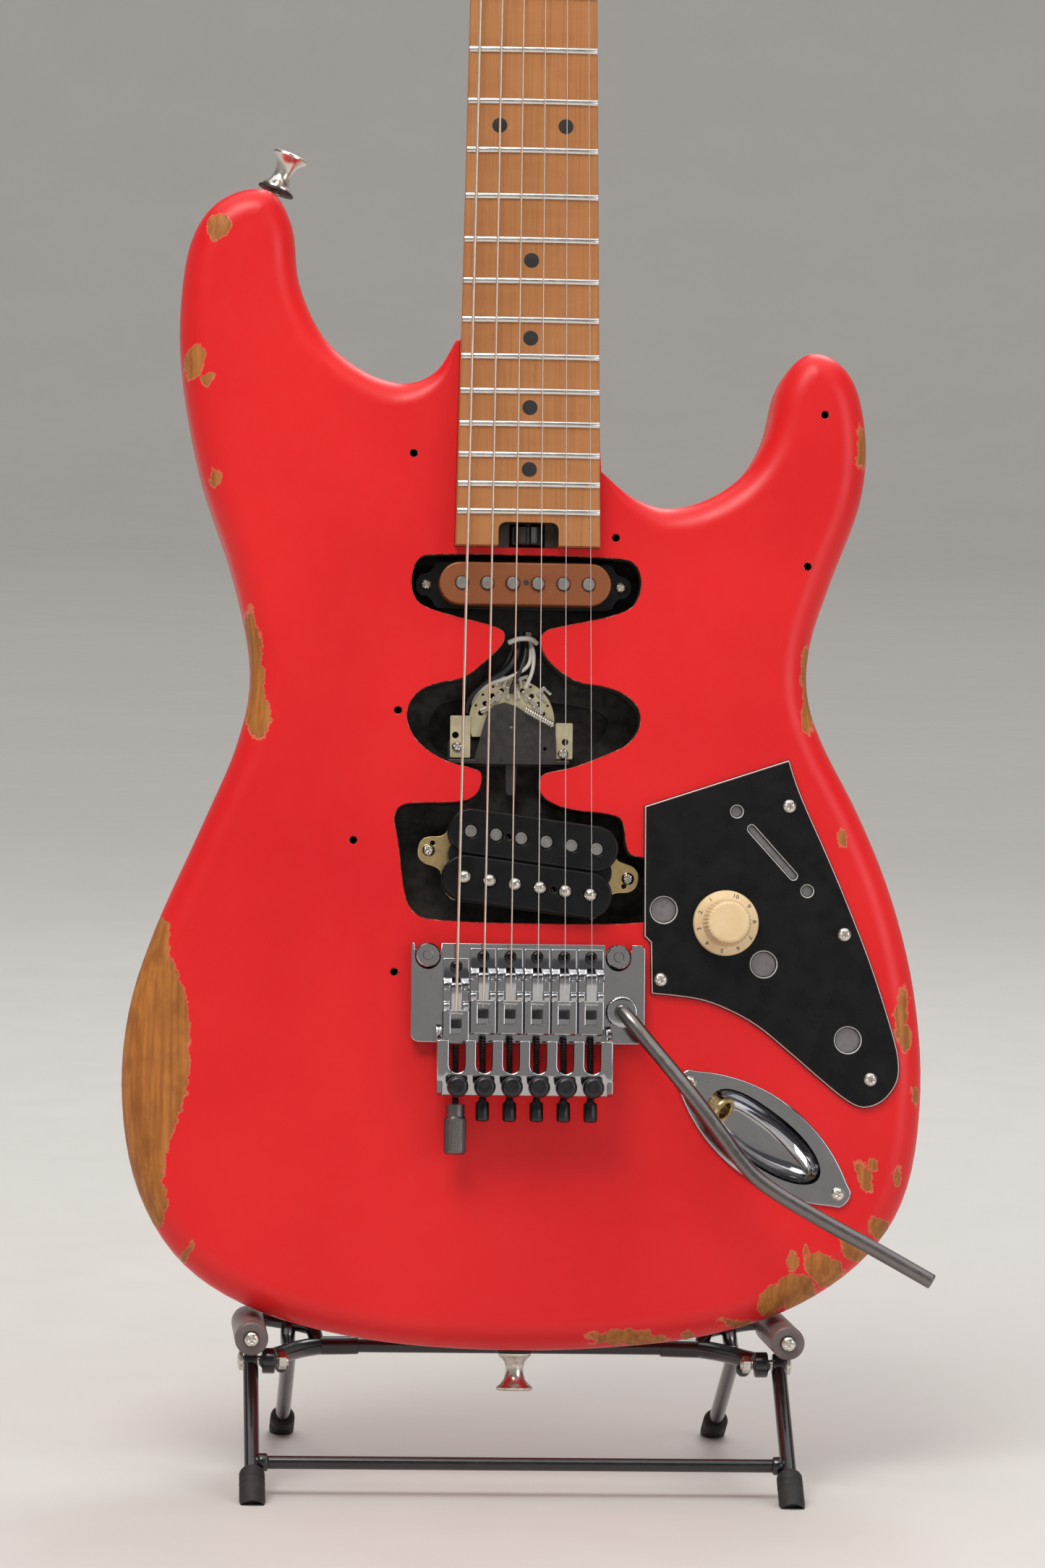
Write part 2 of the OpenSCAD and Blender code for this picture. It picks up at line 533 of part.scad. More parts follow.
// ---- tremolo ----
module tremolo_posts() color("silver") leaned() for (s = [-1, 1])
  turned([s * post_at[0], post_at[1]], -7.6) polygon([[0, 1], [1.6, 1], [1.6, 0], [4.2, 0], [4.65, 0.5],
    [4.65, 1.9], [2.9, 2.6], [2.9, 6.9], [5, 7.4], [5, 29], [0, 29]]);
module post_notch(s) translate([s * post_at[0] - 5.4, pivot_v - 0.2]) square([10.8, 12]);
module tremolo_plate() color("silver") leaned() {
  difference() {
    slab(plate_front, plate_back) difference() {
      translate([2, -5.85]) rounded(91.4, 39.3, 3.5);
      post_notch(-1);
      post_notch(1);
    }
    disc(arm_at, -6, 0, 3.6);
  }
  difference() {
    slab(tuner_bar_front, tuner_bar_back) translate([0, -35.5]) square([68.4, 21.4], center = true);
    for (i = [0:5]) {
      slab(-30, 0) translate([string_u(i), -31]) square([6.2, 14], center = true);
      disc([string_u(i), -38], -30, 0, 3.1);
      disc([string_u(i), fine_tuner_v], -30, 0, 1.75);
    }
  }
  for (s = [-1, 1]) translate([s * 33 - 1.1, 0, 0]) rotate([90, 0, 90]) linear_extrude(2.2)
    polygon([[plate_back - 1, -25], [plate_front + 0.5, -18.5], [tuner_bar_front + 1, -26],
      [tuner_bar_front + 1, -46], [tuner_bar_back, -46], [plate_back - 1, -34]]);
}
module sustain_block() color("dimgray") leaned() slab(plate_back + gap, body_t - 3)
  translate([0, -5]) rounded(66, 19, 2);
function saddle_shift(i) = i == 0 ? -4 : 0;
module saddles() color("silver") leaned() for (i = [0:5]) difference() {
  translate([string_u(i) - 4.95, 0, saddle_shift(i)]) rotate([90, 0, 90]) linear_extrude(9.9)
    polygon(saddle_side);
  slab(-14, -6.1) translate([string_u(i), saddle_shift(i) - 14]) square([4.2, 8], center = true);
  disc([string_u(i), 8 + saddle_shift(i)], -20, 0, 1.5);
}
module saddle_screws() color("black") leaned() for (i = [0:5]) {
  d = saddle_shift(i);
  difference() {
    disc([string_u(i), 8 + d], -10.4, -7.7, 2.4);
    disc([string_u(i), 8 + d], -11, -9, 1.2);
  }
  slab(-12.2, -6.2) translate([string_u(i), d - 14]) square([3.9, 4], center = true);
  rod([string_u(i), -8, -22.7 + d], [string_u(i), -11.2, -49 + d / 2], 1.55);
  if (i > 0) rod([string_u(i), -11.1, -48.5], [string_u(i), -11.9, -56], 2.7);
}
module arm_collar() color("silver") leaned() difference() {
  disc(arm_at, -9.2, plate_front - gap, 6.3);
  disc(arm_at, -10, 0, 3.1);
}
module whammy_arm() color("gray") leaned() {
  disc(arm_at, -10.7, plate_back, 3.05);
  rod_path(arm_points, 3);
}
module drop_tuner() color("gray") leaned() difference() {
  union() {
    rod([string_u(0), -11.2, -54], [string_u(0), -11.2, -69], 4.25);
    rod([string_u(0), -11.2, -49.5], [string_u(0), -11.2, -54.5], 3.7);
  }
  rod([string_u(0), -11.2, -45], [string_u(0), -11.2, -58], 2.2);
}
module fine_tuner(i) color("black") leaned() {
  turned([string_u(i), fine_tuner_v], -29.5) polygon([[0, 0], [2.6, 0.1], [3.9, 1.2], [4.15, 2.4],
    [4.15, 6.4], [1.7, 7.2], [1.7, 14.8], [0, 15.4]]);
}
module spring_claw() color("silver") leaned() {
  difference() {
    slab(33, 41) translate([0, 98]) square([60, 2.2], center = true);
    for (s = [-1, 1]) rod([s * 15, 37, 90], [s * 15, 37, 110], 2.2);
  }
  for (s = [-1, 1]) {
    rod([s * 15, 37, 99.2], [s * 15, 37, 134], 2);
    rod([s * 15, 37, 94], [s * 15, 37, 96.8], 3.6);
    rod([s * 15, 37, 96], [s * 15, 37, 100], 2);
  }
}
module tremolo_springs() color("silver") leaned() for (k = [-1:1])
  rod([k * 24, 35.5, 5.2], [k * 24, 35.5, 96.4], 3.6);

// ---- strings ----
module strings() color("gainsboro") leaned() for (i = [0:5]) {
  r = string_r[i];
  rod([string_u(i), -string_h, -3], [nut_u(i), nut_string_y, 663.4], r);
  rod([nut_u(i), nut_string_y, 663.8], [nut_u(i), -7.3, 671], r);
  rod([nut_u(i), -7.2, 671.4], [post_u(i) + 2.5 + r, -7.4, post_v(i)], r);
}

// ---- stand ----
// Half of the rear frame: bracket, sleeve arm, leg and back post
function sleeve_z(y) = sleeve_mid_z - (y - sleeve_mid_y) * tan(sleeve_tilt);
function on_sleeve(s, y) = [s * sleeve_x, y, sleeve_z(y)];
module stand_rear_frame() color("black") standing() difference() {
  union() {
    for (s = [-1, 1]) {
      rod_path([on_sleeve(s, sleeve_back - sleeve_len - 1), on_sleeve(s, sleeve_back + 4),
        [s * 77, yoke_at[0] + 1, 53.5], [s * 77, yoke_at[0], yoke_at[1]]], rod_r);
      rod_path([[s * 60, yoke_at[0], yoke_at[1] + 0.6], [s * 77, yoke_at[0], yoke_at[1]],
        [s * bracket_x, pivot_at[0] + 6, pivot_at[1]], [s * bracket_x, pivot_at[0] - 3, pivot_at[1]]], 3.6);
      rod_path([[s * rear_half, 15, yoke_at[1] + 0.5], [s * rear_half, rear_foot[0], rear_foot[1]]], rod_r);
      rod_path([[s * rear_half, 20, yoke_at[1]], [s * rear_half, 36, 54],
        [s * 80, 58, 232], [s * 66, pad_at[0], pad_at[1]]], rod_r);
      translate([s * 91, 8, yoke_at[1] - 4.2]) sphere(r = 3);
      translate([s * bracket_x, pivot_at[0], pivot_at[1]]) rotate([0, 90, 0])
        cylinder(h = 5, r = 5, center = true);
    }
    rod([-60.5, yoke_at[0], yoke_at[1] + 0.6], [60.5, yoke_at[0], yoke_at[1] + 0.6], rod_r);
    rod([-66.5, pad_at[0], pad_at[1]], [66.5, pad_at[0], pad_at[1]], rod_r);
  }
  for (s = [-1, 1]) translate([s * bracket_x, pivot_at[0], pivot_at[1]]) rotate([0, 90, 0])
    cylinder(h = 12, r = bolt_r + 0.1, center = true);
}
module stand_front_frame() color("black") standing() {
  for (s = [-1, 1]) {
    top = [s * front_half, pivot_at[0], pivot_at[1]];
    toe = [s * front_half, front_foot[0], front_foot[1]];
    difference() {
      union() {
        rod(top + 0.06 * (toe - top), toe, rod_r);
        translate(top) rotate([0, 90, 0]) cylinder(h = 5, r = 4.4, center = true);
      }
      translate(top) rotate([0, 90, 0]) cylinder(h = 9, r = bolt_r + 0.1, center = true);
    }
  }
  y = front_foot[0] + 12;
  z = front_foot[1] + 12 * (pivot_at[1] - front_foot[1]) / (pivot_at[0] - front_foot[0]);
  rod([-front_half, y, z], [front_half, y, z], 2.6);
}
module stand_bolts() color("silver") standing() for (s = [-1, 1]) {
  mirror([s < 0 ? 1 : 0, 0, 0]) translate([0, pivot_at[0], pivot_at[1]]) rotate([0, 90, 0]) {
    translate([0, 0, 88.6]) cylinder(h = front_half + 3 - 88.6, r = bolt_r);
    translate([0, 0, front_half + 2.8]) cylinder(h = 2.4, r = 3.8);
    translate([0, 0, 89.4]) cylinder(h = 3.2, r = 3.4, $fn = 6);
  }
  y = sleeve_back - sleeve_len - 1.1;
  rod(on_sleeve(s, y - 2.2), on_sleeve(s, y), 3.1);
}
module stand_sleeves() color("thistle") standing() for (s = [-1, 1]) difference() {
  rod(on_sleeve(s, sleeve_back - sleeve_len), on_sleeve(s, sleeve_back), sleeve_r);
  rod(on_sleeve(s, sleeve_back - sleeve_len - 5), on_sleeve(s, sleeve_back + 5), rod_r + gap);
}
// Rubber cap on the end of a leg that comes down from one point to another
module foot_cap(top, toe) {
  along = (top - toe) / norm(top - toe);
  difference() {
    intersection() {
      rod(toe - 9 * along, toe + 10 * along, foot_r);
      translate([toe[0], toe[1], 30]) cube([60, 60, 60], center = true);
    }
    rod(toe - 0.2 * along, toe + 20 * along, rod_r + gap);
  }
}
module front_feet() color("dimgray") standing() for (s = [-1, 1])
  foot_cap([s * front_half, pivot_at[0], pivot_at[1]], [s * front_half, front_foot[0], front_foot[1]]);
module rear_feet() color("dimgray") standing() for (s = [-1, 1])
  foot_cap([s * rear_half, 15, yoke_at[1]], [s * rear_half, rear_foot[0], rear_foot[1]]);
module back_pad() color("dimgray") standing() difference() {
  rod([-56, pad_at[0], pad_at[1]], [56, pad_at[0], pad_at[1]], 10);
  rod([-60, pad_at[0], pad_at[1]], [60, pad_at[0], pad_at[1]], rod_r + gap);
}

guitar_body();
neck();
truss_rod();
frets();
fret_markers();
locking_nut();
string_retainer();
neck_plate();
wood_screws();
neck_pickup_base();
neck_pickup_bobbin();
neck_pickup_poles();
humbucker_baseplate();
humbucker_bobbins();
humbucker_poles();
switch_frame();
switch_wafer();
switch_lever();
switch_spring();
control_plate();
potentiometer();
pot_shaft();
tone_knob();
jack_plate();
jack_socket();
strap_buttons();
spring_claw();
tremolo_springs();
back_cover();
tremolo_posts();
tremolo_plate();
sustain_block();
saddles();
saddle_screws();
whammy_arm();
arm_collar();
drop_tuner();
for (i = [0:5]) fine_tuner(i);
tuner_housings();
tuner_posts();
for (i = [0:5]) tuner_key(i);
strings();
wiring();
stand_rear_frame();
stand_front_frame();
stand_sleeves();
stand_bolts();
front_feet();
rear_feet();
back_pad();
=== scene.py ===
"""Looks for the guitar on its stand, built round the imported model."""
import json
import math

import bmesh
import bpy
from mathutils import Matrix, Vector, noise
from mathutils.geometry import tessellate_polygon


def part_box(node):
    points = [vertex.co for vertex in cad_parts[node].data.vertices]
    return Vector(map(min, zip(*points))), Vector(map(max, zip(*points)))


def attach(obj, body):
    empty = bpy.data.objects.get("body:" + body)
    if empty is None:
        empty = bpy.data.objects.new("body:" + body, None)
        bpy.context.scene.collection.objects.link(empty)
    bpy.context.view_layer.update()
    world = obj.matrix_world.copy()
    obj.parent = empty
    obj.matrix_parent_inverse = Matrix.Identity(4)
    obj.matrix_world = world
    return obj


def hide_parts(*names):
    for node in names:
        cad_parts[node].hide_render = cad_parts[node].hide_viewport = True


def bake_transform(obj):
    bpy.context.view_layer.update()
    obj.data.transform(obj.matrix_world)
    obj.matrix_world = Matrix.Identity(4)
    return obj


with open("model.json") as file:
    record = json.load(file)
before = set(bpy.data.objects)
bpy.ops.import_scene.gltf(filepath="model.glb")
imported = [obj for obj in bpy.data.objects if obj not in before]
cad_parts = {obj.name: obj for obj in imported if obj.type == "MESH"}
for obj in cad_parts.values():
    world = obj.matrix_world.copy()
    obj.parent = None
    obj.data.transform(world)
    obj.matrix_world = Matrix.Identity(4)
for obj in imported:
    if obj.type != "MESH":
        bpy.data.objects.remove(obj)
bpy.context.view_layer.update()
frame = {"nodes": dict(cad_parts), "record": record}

# ---- places, in millimetres ----
# Guitar axes: u across the body, w into it from its front face, v up the neck from the saddles.
LEAN = math.radians(7.5)
SADDLE_LINE = Vector((-1.35, -32.512, 196.433))
STAND_SHIFT = Vector((-1.35, -29.6, 0))
MM = Matrix.Scale(0.001, 4)
GUITAR = MM @ Matrix.Translation(SADDLE_LINE) @ Matrix.Rotation(-LEAN, 4, "X")
STAND = MM @ Matrix.Translation(STAND_SHIFT)
# A flat outline (u, v) is drawn in x and y, and its depth w in z
FACE = Matrix(((1, 0, 0, 0), (0, 0, 1, 0), (0, 1, 0, 0), (0, 0, 0, 1)))
# The same on the back of the body, and half a turn for parts that face the other way
BACK_FACE = Matrix(((1, 0, 0, 0), (0, 0, -1, 0), (0, 1, 0, 0), (0, 0, 0, 1)))
TURNED = Matrix.Rotation(math.pi, 4, "X")
ACROSS = Matrix.Rotation(math.pi / 2, 4, "Y")

BODY_T = 44
ROUNDOVER = 11.5
SCALE_LEN = 647.7
HEEL_END = 168.7
HEEL_HALF = 28.3
NUT_HALF = 20.9
BOARD_H = 9.5
BOARD_R = 305
FRETS = 22
PITCH = 10.5
NUT_PITCH = 7.04
STRING_H = 13.5
NUT_STRING_W = -11.7
STRING_R = (0.58, 0.46, 0.33, 0.22, 0.17, 0.13)

BODY_POINTS = ((29, 199), (41, 190), (56, 186), (72, 190), (86, 200), (95, 215), (100, 235),
               (109, 247), (120, 247), (130, 236), (134.5, 213), (132, 188), (121, 158),
               (113, 133), (112, 113), (118, 94), (133, 65), (146, 33), (155, -3), (158, -42),
               (153, -80), (138, -106), (111, -126), (75, -138.5), (30, -144), (-15, -144.8),
               (-60, -141), (-100, -131), (-130, -113), (-148, -85), (-155, -50), (-153, -15),
               (-143, 18), (-126, 57), (-112, 91), (-107, 120), (-114, 156), (-128, 198),
               (-136, 243), (-135, 278), (-128, 298), (-115, 308), (-101, 308), (-93, 294),
               (-90, 272), (-80, 251), (-64, 238), (-48, 233.5), (-36, 238), (-28.5, 250))
CAVITY_POINTS = ((-37, 165.6), (36, 165.2), (42.5, 163.4), (45.2, 157.5), (44.8, 150.6), (40, 143.5),
                 (16, 138.4), (6, 136), (5.6, 130), (8, 125), (14.6, 119), (21, 115.6),
                 (30, 114.7), (38.6, 112), (44.6, 106.7), (45.6, 99.4), (41, 92), (33, 88.2),
                 (19, 82.4), (7.6, 80.4), (5.6, 77.6), (6, 71), (16, 65.8), (36, 64.5), (39.2, 61),
                 (40, 50), (44, 47.5), (60, 47.5), (60, 23), (46, 22.5), (38, 21.5), (-37, 21.5),
                 (-44, 26), (-46.6, 33), (-49, 54), (-51, 62), (-49, 66.5), (-44, 68), (-24, 68),
                 (-17.8, 71.5), (-16, 79), (-18.4, 81.6), (-31, 84.2), (-41, 90.6), (-45.6, 97.6),
                 (-46.4, 104), (-43, 111), (-35, 115), (-24, 116.5), (-14, 125), (-7.8, 131.5),
                 (-8.6, 137), (-25, 140.6), (-41, 144.8), (-44.6, 150), (-45, 157.5), (-42.5, 164))
SWITCH_POCKET = ((-34, 88), (-18, 84), (8, 84), (24, 90), (34, 96), (34, 108), (-30, 112), (-38, 100))
CONTROL_CAVITY = ((58, 24), (58, 60), (96, 72), (104, 52), (120, 14), (132, -24), (127, -36),
                  (112, -24), (96, -10), (80, -2), (62, 4))
PLATE_POINTS = ((47, 68), (104, 87), (109, 72.5), (122.5, 42.5), (136, 9.5), (145.6, -19.5),
                (148.2, -32), (147, -40), (141.5, -46.8), (134, -49.3), (127, -46.4), (117.5, -39),
                (104.5, -28), (92, -18), (80, -11.5), (68, -7.6), (50.3, -5.7), (49.8, 14.4),
                (47.3, 16.8))
PLATE_SCREWS = ((104, 68.5), (126, 18.5), (54, 0), (136.6, -38))
JACK_MID = (95.1, -61.5)
JACK_TURN = math.radians(-36.2)
JACK_SCREW_X = 36.1
NECK_SCREWS = ((-19, 178), (19, 178), (-19, 228), (19, 228))
COVER_SCREWS = ((-33, -32), (33, -32), (-33, 45), (33, 45), (-33, 120), (33, 120))
EMPTY_HOLES = ((-44.7, 205), (117, 223), (110.7, 163), (35, 173), (-49.7, 104), (-66.6, 53),
               (-50, 1.8))
KNOB = (79, 22.3)
POT_HOLES = ((55, 27.3), (94.4, 6.5), (127.7, -22.7))
LEVER_HOLES = ((83.4, 66.2), (111.3, 35.4))
LEVER_SLOT = ((89, 59.7), (106, 41))
NECK_PICKUP = (-0.7, 154)
NECK_PICKUP_EAR = 38.3
POLE_PITCH = 9.92
HUMBUCKER = (2.4, 44.7)
HUMBUCKER_TURN = math.radians(7.4)
HUMBUCKER_EAR = 39.5
SWITCH = (-4.6, 97.5)
WAFER = (-4.6, 101)
SWITCH_SCREWS = ((-25.9, 90.6), (15.7, 88.4))
POST = (37.15, 8.4)
ARM = (38.5, -13)
TUNER_TURN = math.radians(15.2)
TUNER_W = 18.5

# ---- outlines ----


def curve(points, steps, closed=False):
    """Points of a smooth curve through the given ones."""
    pts = [Vector(p) for p in points]
    n = len(pts)
    out = []
    for i in range(n if closed else n - 1):
        if closed:
            p, q, r, s = (pts[(i + k) % n] for k in (-1, 0, 1, 2))
        else:
            p, q, r, s = pts[max(i - 1, 0)], pts[i], pts[i + 1], pts[min(i + 2, n - 1)]
        for k in range(steps):
            t = k / steps
            out.append(0.5 * (2 * q + (r - p) * t + (2 * p - 5 * q + 4 * r - s) * t ** 2
                              + (3 * q - p - 3 * r + s) * t ** 3))
    return out if closed else out + [pts[-1]]


def softened(points, times=3):
    """A closed outline with its corners cut again and again."""
    loop = [Vector(p) for p in points]
    for _ in range(times):
        loop = [p for a, b in zip(loop, loop[1:] + loop[:1]) for p in (a.lerp(b, 0.25), a.lerp(b, 0.75))]
    return loop


def circle(r, at=(0, 0), n=32, start=0.0):
    """A closed round outline."""
    turn = math.tau / n
    return [Vector((at[0] + r * math.cos(start + k * turn), at[1] + r * math.sin(start + k * turn)))
            for k in range(n)]


def rounded(w, h, r, at=(0, 0), n=6, turn=0.0):
    """A closed rectangle with round corners."""
    out = []
    for k, (sx, sy) in enumerate(((1, 1), (-1, 1), (-1, -1), (1, -1))):
        for j in range(n + 1):
            a = (k + j / n) * math.pi / 2
            out.append(Vector((sx * (w / 2 - r) + r * math.cos(a), sy * (h / 2 - r) + r * math.sin(a))))
    c, s = math.cos(turn), math.sin(turn)
    return [Vector((at[0] + p.x * c - p.y * s, at[1] + p.x * s + p.y * c)) for p in out]


def pill(length, r, at=(0, 0), n=12, turn=0.0):
    """A closed outline with two straight sides and round ends."""
    half = length / 2 - r
    c, s = math.cos(turn), math.sin(turn)
    out = []
    for k in range(2 * n + 2):
        side = 1 if k <= n else -1
        a = -math.pi / 2 + (k if k <= n else k - 1) / n * math.pi
        x, y = side * half + r * math.cos(a), r * math.sin(a)
        out.append(Vector((at[0] + x * c - y * s, at[1] + x * s + y * c)))
    return out


def mirrored(quarter):
    """A closed outline from its lower right quarter."""
    lower = quarter + [Vector((p.x, -p.y)) for p in quarter[-2::-1]]
    return lower + [Vector((-p.x, p.y)) for p in lower[-2:0:-1]]


def area(loop):
    """Twice the signed area of a closed outline."""
    return sum(a.x * b.y - b.x * a.y for a, b in zip(loop, loop[1:] + loop[:1]))


def sideways(loop):
    """For each point of a closed outline, the unit direction to its left."""
    out = []
    for a, b, c in zip(loop[-1:] + loop[:-1], loop, loop[1:] + loop[:1]):
        d = (b - a).normalized() + (c - b).normalized()
        d = d.normalized() if d.length > 1e-9 else (c - b).normalized()
        half = max(0.4, d.dot((c - b).normalized()))
        out.append(Vector((-d.y, d.x)) / half)
    return out


def corner(r, inset=0.0, depth=0.0, steps=3, back=False):
    """Rows of (inset, depth) for a round edge of radius r, from the flat face to the side."""
    rows = []
    for k in range(steps + 1):
        a = k / steps * math.pi / 2
        rows.append((inset + r * (1 - math.sin(a)), r * (1 - math.cos(a))))
    if back:
        return [(i, depth - d) for i, d in reversed(rows)]
    return [(i, depth + d) for i, d in rows]


def slab_rows(front, back, r=0.3, steps=2):
    """Rows for a plate from one depth to another with both its edges rounded."""
    return corner(r, 0, front, steps) + corner(r, 0, back, steps, True)


# ---- solids ----


def skin(bm, rings, mat=0, ends=True):
    """Faces between rings of points that follow each other, and over the first and last."""
    for a, b in zip(rings, rings[1:]):
        for j in range(len(a)):
            i = (j + 1) % len(a)
            bm.faces.new((a[j], a[i], b[i], b[j])).material_index = mat
    for ring in (rings[0], rings[-1]) if ends else ():
        bm.faces.new(ring).material_index = mat


def fill(bm, loops, verts):
    """Flat face inside the first outline and outside the others; verts are their corners."""
    for tri in tessellate_polygon([[p.to_3d() for p in loop] for loop in loops]):
        if len(set(tri)) == 3:
            try:
                bm.faces.new([verts[k] for k in tri])
            except ValueError:
                pass


def prism(bm, loops, rows, at=FACE):
    """Solid inside the first outline and outside the others. rows are (inset, depth)."""
    loops = [[Vector(p) for p in loop] for loop in loops]
    loops = [l if (area(l) > 0) == (i == 0) else l[::-1] for i, l in enumerate(loops)]
    rings, flats = [], []
    for loop in loops:
        side = sideways(loop)
        flat = [[p + n * inset for p, n in zip(loop, side)] for inset, _ in rows]
        rings.append([[bm.verts.new(at @ Vector((p.x, p.y, depth))) for p in row]
                      for row, (_, depth) in zip(flat, rows)])
        flats.append(flat)
    for ring in rings:
        skin(bm, ring, ends=False)
    for end in (0, -1):
        fill(bm, [flat[end] for flat in flats], [v for ring in rings for v in ring[end]])


def lathe(bm, profile, at=FACE, segs=32, closed=False, ridge=None):
    """Turned solid. profile is (radius, height) along z; ridge(angle, k) adds to the radius."""
    rings = []
    for k, (r, z) in enumerate(profile):
        if r < 1e-6:
            rings.append([bm.verts.new(at @ Vector((0, 0, z)))])
            continue
        ring = []
        for j in range(segs):
            a = j / segs * math.tau
            q = r + (ridge(a, k) if ridge else 0)
            ring.append(bm.verts.new(at @ Vector((q * math.cos(a), q * math.sin(a), z))))
        rings.append(ring)
    pairs = list(zip(rings, rings[1:] + rings[:1])) if closed else list(zip(rings, rings[1:]))
    for a, b in pairs:
        for j in range(segs):
            i = (j + 1) % segs
            if len(a) == 1 and len(b) == 1:
                continue
            if len(a) == 1:
                quad = (a[0], b[i], b[j])
            elif len(b) == 1:
                quad = (a[j], a[i], b[0])
            else:
                quad = (a[j], a[i], b[i], b[j])
            bm.faces.new(quad)
    if not closed:
        for ring in (rings[0], rings[-1]):
            if len(ring) > 1:
                bm.faces.new(ring)


def tube(bm, points, radius, segs=12, mat=0):
    """Round bar along a line of points; radius is a number or one for each point."""
    pts = [Vector(p) for p in points]
    n = len(pts)
    radii = radius if isinstance(radius, list) else [radius] * n
    ways = [(pts[min(k + 1, n - 1)] - pts[max(k - 1, 0)]).normalized() for k in range(n)]
    side = ways[0].orthogonal().normalized()
    rings = []
    for k in range(n):
        if k:
            side = (side - ways[k] * side.dot(ways[k])).normalized()
        up = ways[k].cross(side)
        ring = []
        for j in range(segs):
            a = j / segs * math.tau
            ring.append(bm.verts.new(pts[k] + (side * math.cos(a) + up * math.sin(a)) * radii[k]))
        rings.append(ring)
    skin(bm, rings, mat)


def round_tube(bm, points, r, segs=14):
    """Round bar with softened ends."""
    pts = [Vector(p) for p in points]
    a = (pts[1] - pts[0]).normalized()
    b = (pts[-1] - pts[-2]).normalized()
    soft = min(0.5, 0.25 * r)
    pts = [pts[0], pts[0] + a * 0.3 * soft, pts[0] + a * soft] + pts[1:-1] + [
        pts[-1] - b * soft, pts[-1] - b * 0.3 * soft, pts[-1]]
    radii = [r - soft, r - 0.3 * soft, r] + [r] * (len(pts) - 6) + [r, r - 0.3 * soft, r - soft]
    tube(bm, pts, radii, segs)


def head(bm, at, r, rise, shape, rim=0.5, rings=10, segs=40):
    """Screw head facing -z of its place: a dome whose surface shape(x, y) cuts into."""
    rows = []
    for k in range(rings + 1):
        q = k / rings
        if k == 0:
            z = -rise + shape(0, 0)
            rows.append([bm.verts.new(at @ Vector((0, 0, z)))])
            continue
        row = []
        for j in range(segs):
            a = j / segs * math.tau
            x, y = r * q * math.cos(a), r * q * math.sin(a)
            z = -rise * (1 - q ** 2.6) + shape(x, y)
            row.append(bm.verts.new(at @ Vector((x, y, z))))
        rows.append(row)
    base = []
    for j in range(segs):
        a = j / segs * math.tau
        base.append(bm.verts.new(at @ Vector((r * math.cos(a), r * math.sin(a), rim))))
    rows.append(base)
    for a, b in zip(rows, rows[1:]):
        for j in range(segs):
            i = (j + 1) % segs
            quad = (a[0], b[i], b[j]) if len(a) == 1 else (a[j], a[i], b[i], b[j])
            bm.faces.new(quad)
    bm.faces.new(base)


def cross_cut(r, depth=0.9, width=0.42):
    """Cross recess of a screw driver."""
    def shape(x, y):
        arm = 0.58 * r
        near = min(abs(x), abs(y))
        far = max(abs(x), abs(y))
        if far > arm or near > width + 0.25:
            return 0
        soft = 1 - max(0, near - width + 0.1) / 0.35
        return depth * max(0, min(1, soft)) * (1 - 0.45 * (far / arm) ** 2)
    return shape


def slot_cut(r, depth=0.8, width=0.45, turn=0.3):
    """Straight recess of a screw driver."""
    def shape(x, y):
        d = abs(-x * math.sin(turn) + y * math.cos(turn))
        return depth if d < width else 0
    return shape


def socket_cut(r, across=1.5, depth=1.6):
    """Six-sided recess of a key."""
    def shape(x, y):
        d = max(abs(x * math.cos(a) + y * math.sin(a)) for a in (0, math.pi / 3, -math.pi / 3))
        return depth if d < across else 0
    return shape


def at_face(u, v, w=0.0, turn=0.0):
    """A place on the guitar's face: local z goes into the body."""
    return Matrix.Translation((u, w, v)) @ Matrix.Rotation(turn, 4, "Y") @ FACE


def along(a, b):
    """A place at a whose z axis points at b."""
    way = Vector(b) - Vector(a)
    return Matrix.Translation(a) @ way.to_track_quat("Z", "Y").to_matrix().to_4x4()


JACK = Matrix.Translation((JACK_MID[0], 0, JACK_MID[1])) @ Matrix.Rotation(-JACK_TURN, 4, "Y")


def neck_half(v):
    return HEEL_HALF - (v - HEEL_END) * (HEEL_HALF - NUT_HALF) / (SCALE_LEN - HEEL_END)


def board_w(u):
    return -BOARD_H + BOARD_R - math.sqrt(BOARD_R ** 2 - u * u)


def fret_v(n):
    return SCALE_LEN * 2 ** (-n / 12)


def string_u(i):
    return (i - 2.5) * PITCH


def nut_u(i):
    return (i - 2.5) * NUT_PITCH


def tuner_v(i):
    """Height of string i's tuner post."""
    return 684 + 26 * i


def set_back(i):
    """How far the lowest string's saddle is moved back."""
    return -4 if i == 0 else 0


def string_at(i, v):
    """Centre of string i's main run at height v."""
    t = (v + 3) / (SCALE_LEN + 15.7 + 3)
    return Vector((string_u(i) + (nut_u(i) - string_u(i)) * t,
                   -STRING_H + (NUT_STRING_W + STRING_H) * t, v))


# ---- pieces ----
LOOKS = {}


def piece(name, bm, body, slots, place=GUITAR, replaces=(), sharp=38, weighted=True):
    """Turns a bmesh, in millimetres, into a piece that rides on a body."""
    bmesh.ops.recalc_face_normals(bm, faces=bm.faces)
    bm.transform(place)
    if place.determinant() < 0:
        bmesh.ops.reverse_faces(bm, faces=bm.faces)
    mesh = bpy.data.meshes.new(name)
    bm.to_mesh(mesh)
    bm.free()
    mesh.shade_smooth()
    mesh.set_sharp_from_angle(angle=math.radians(sharp))
    ob = bpy.data.objects.new(name, mesh)
    bpy.context.scene.collection.objects.link(ob)
    slots = [slots] if isinstance(slots, str) else slots
    for s in slots:
        mesh.materials.append(LOOKS[s])
    if weighted:
        mod = ob.modifiers.new("flat faces", "WEIGHTED_NORMAL")
        mod.keep_sharp = True
    if body:
        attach(ob, body)
    if replaces:
        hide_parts(*replaces)
    return ob


# ---- materials ----


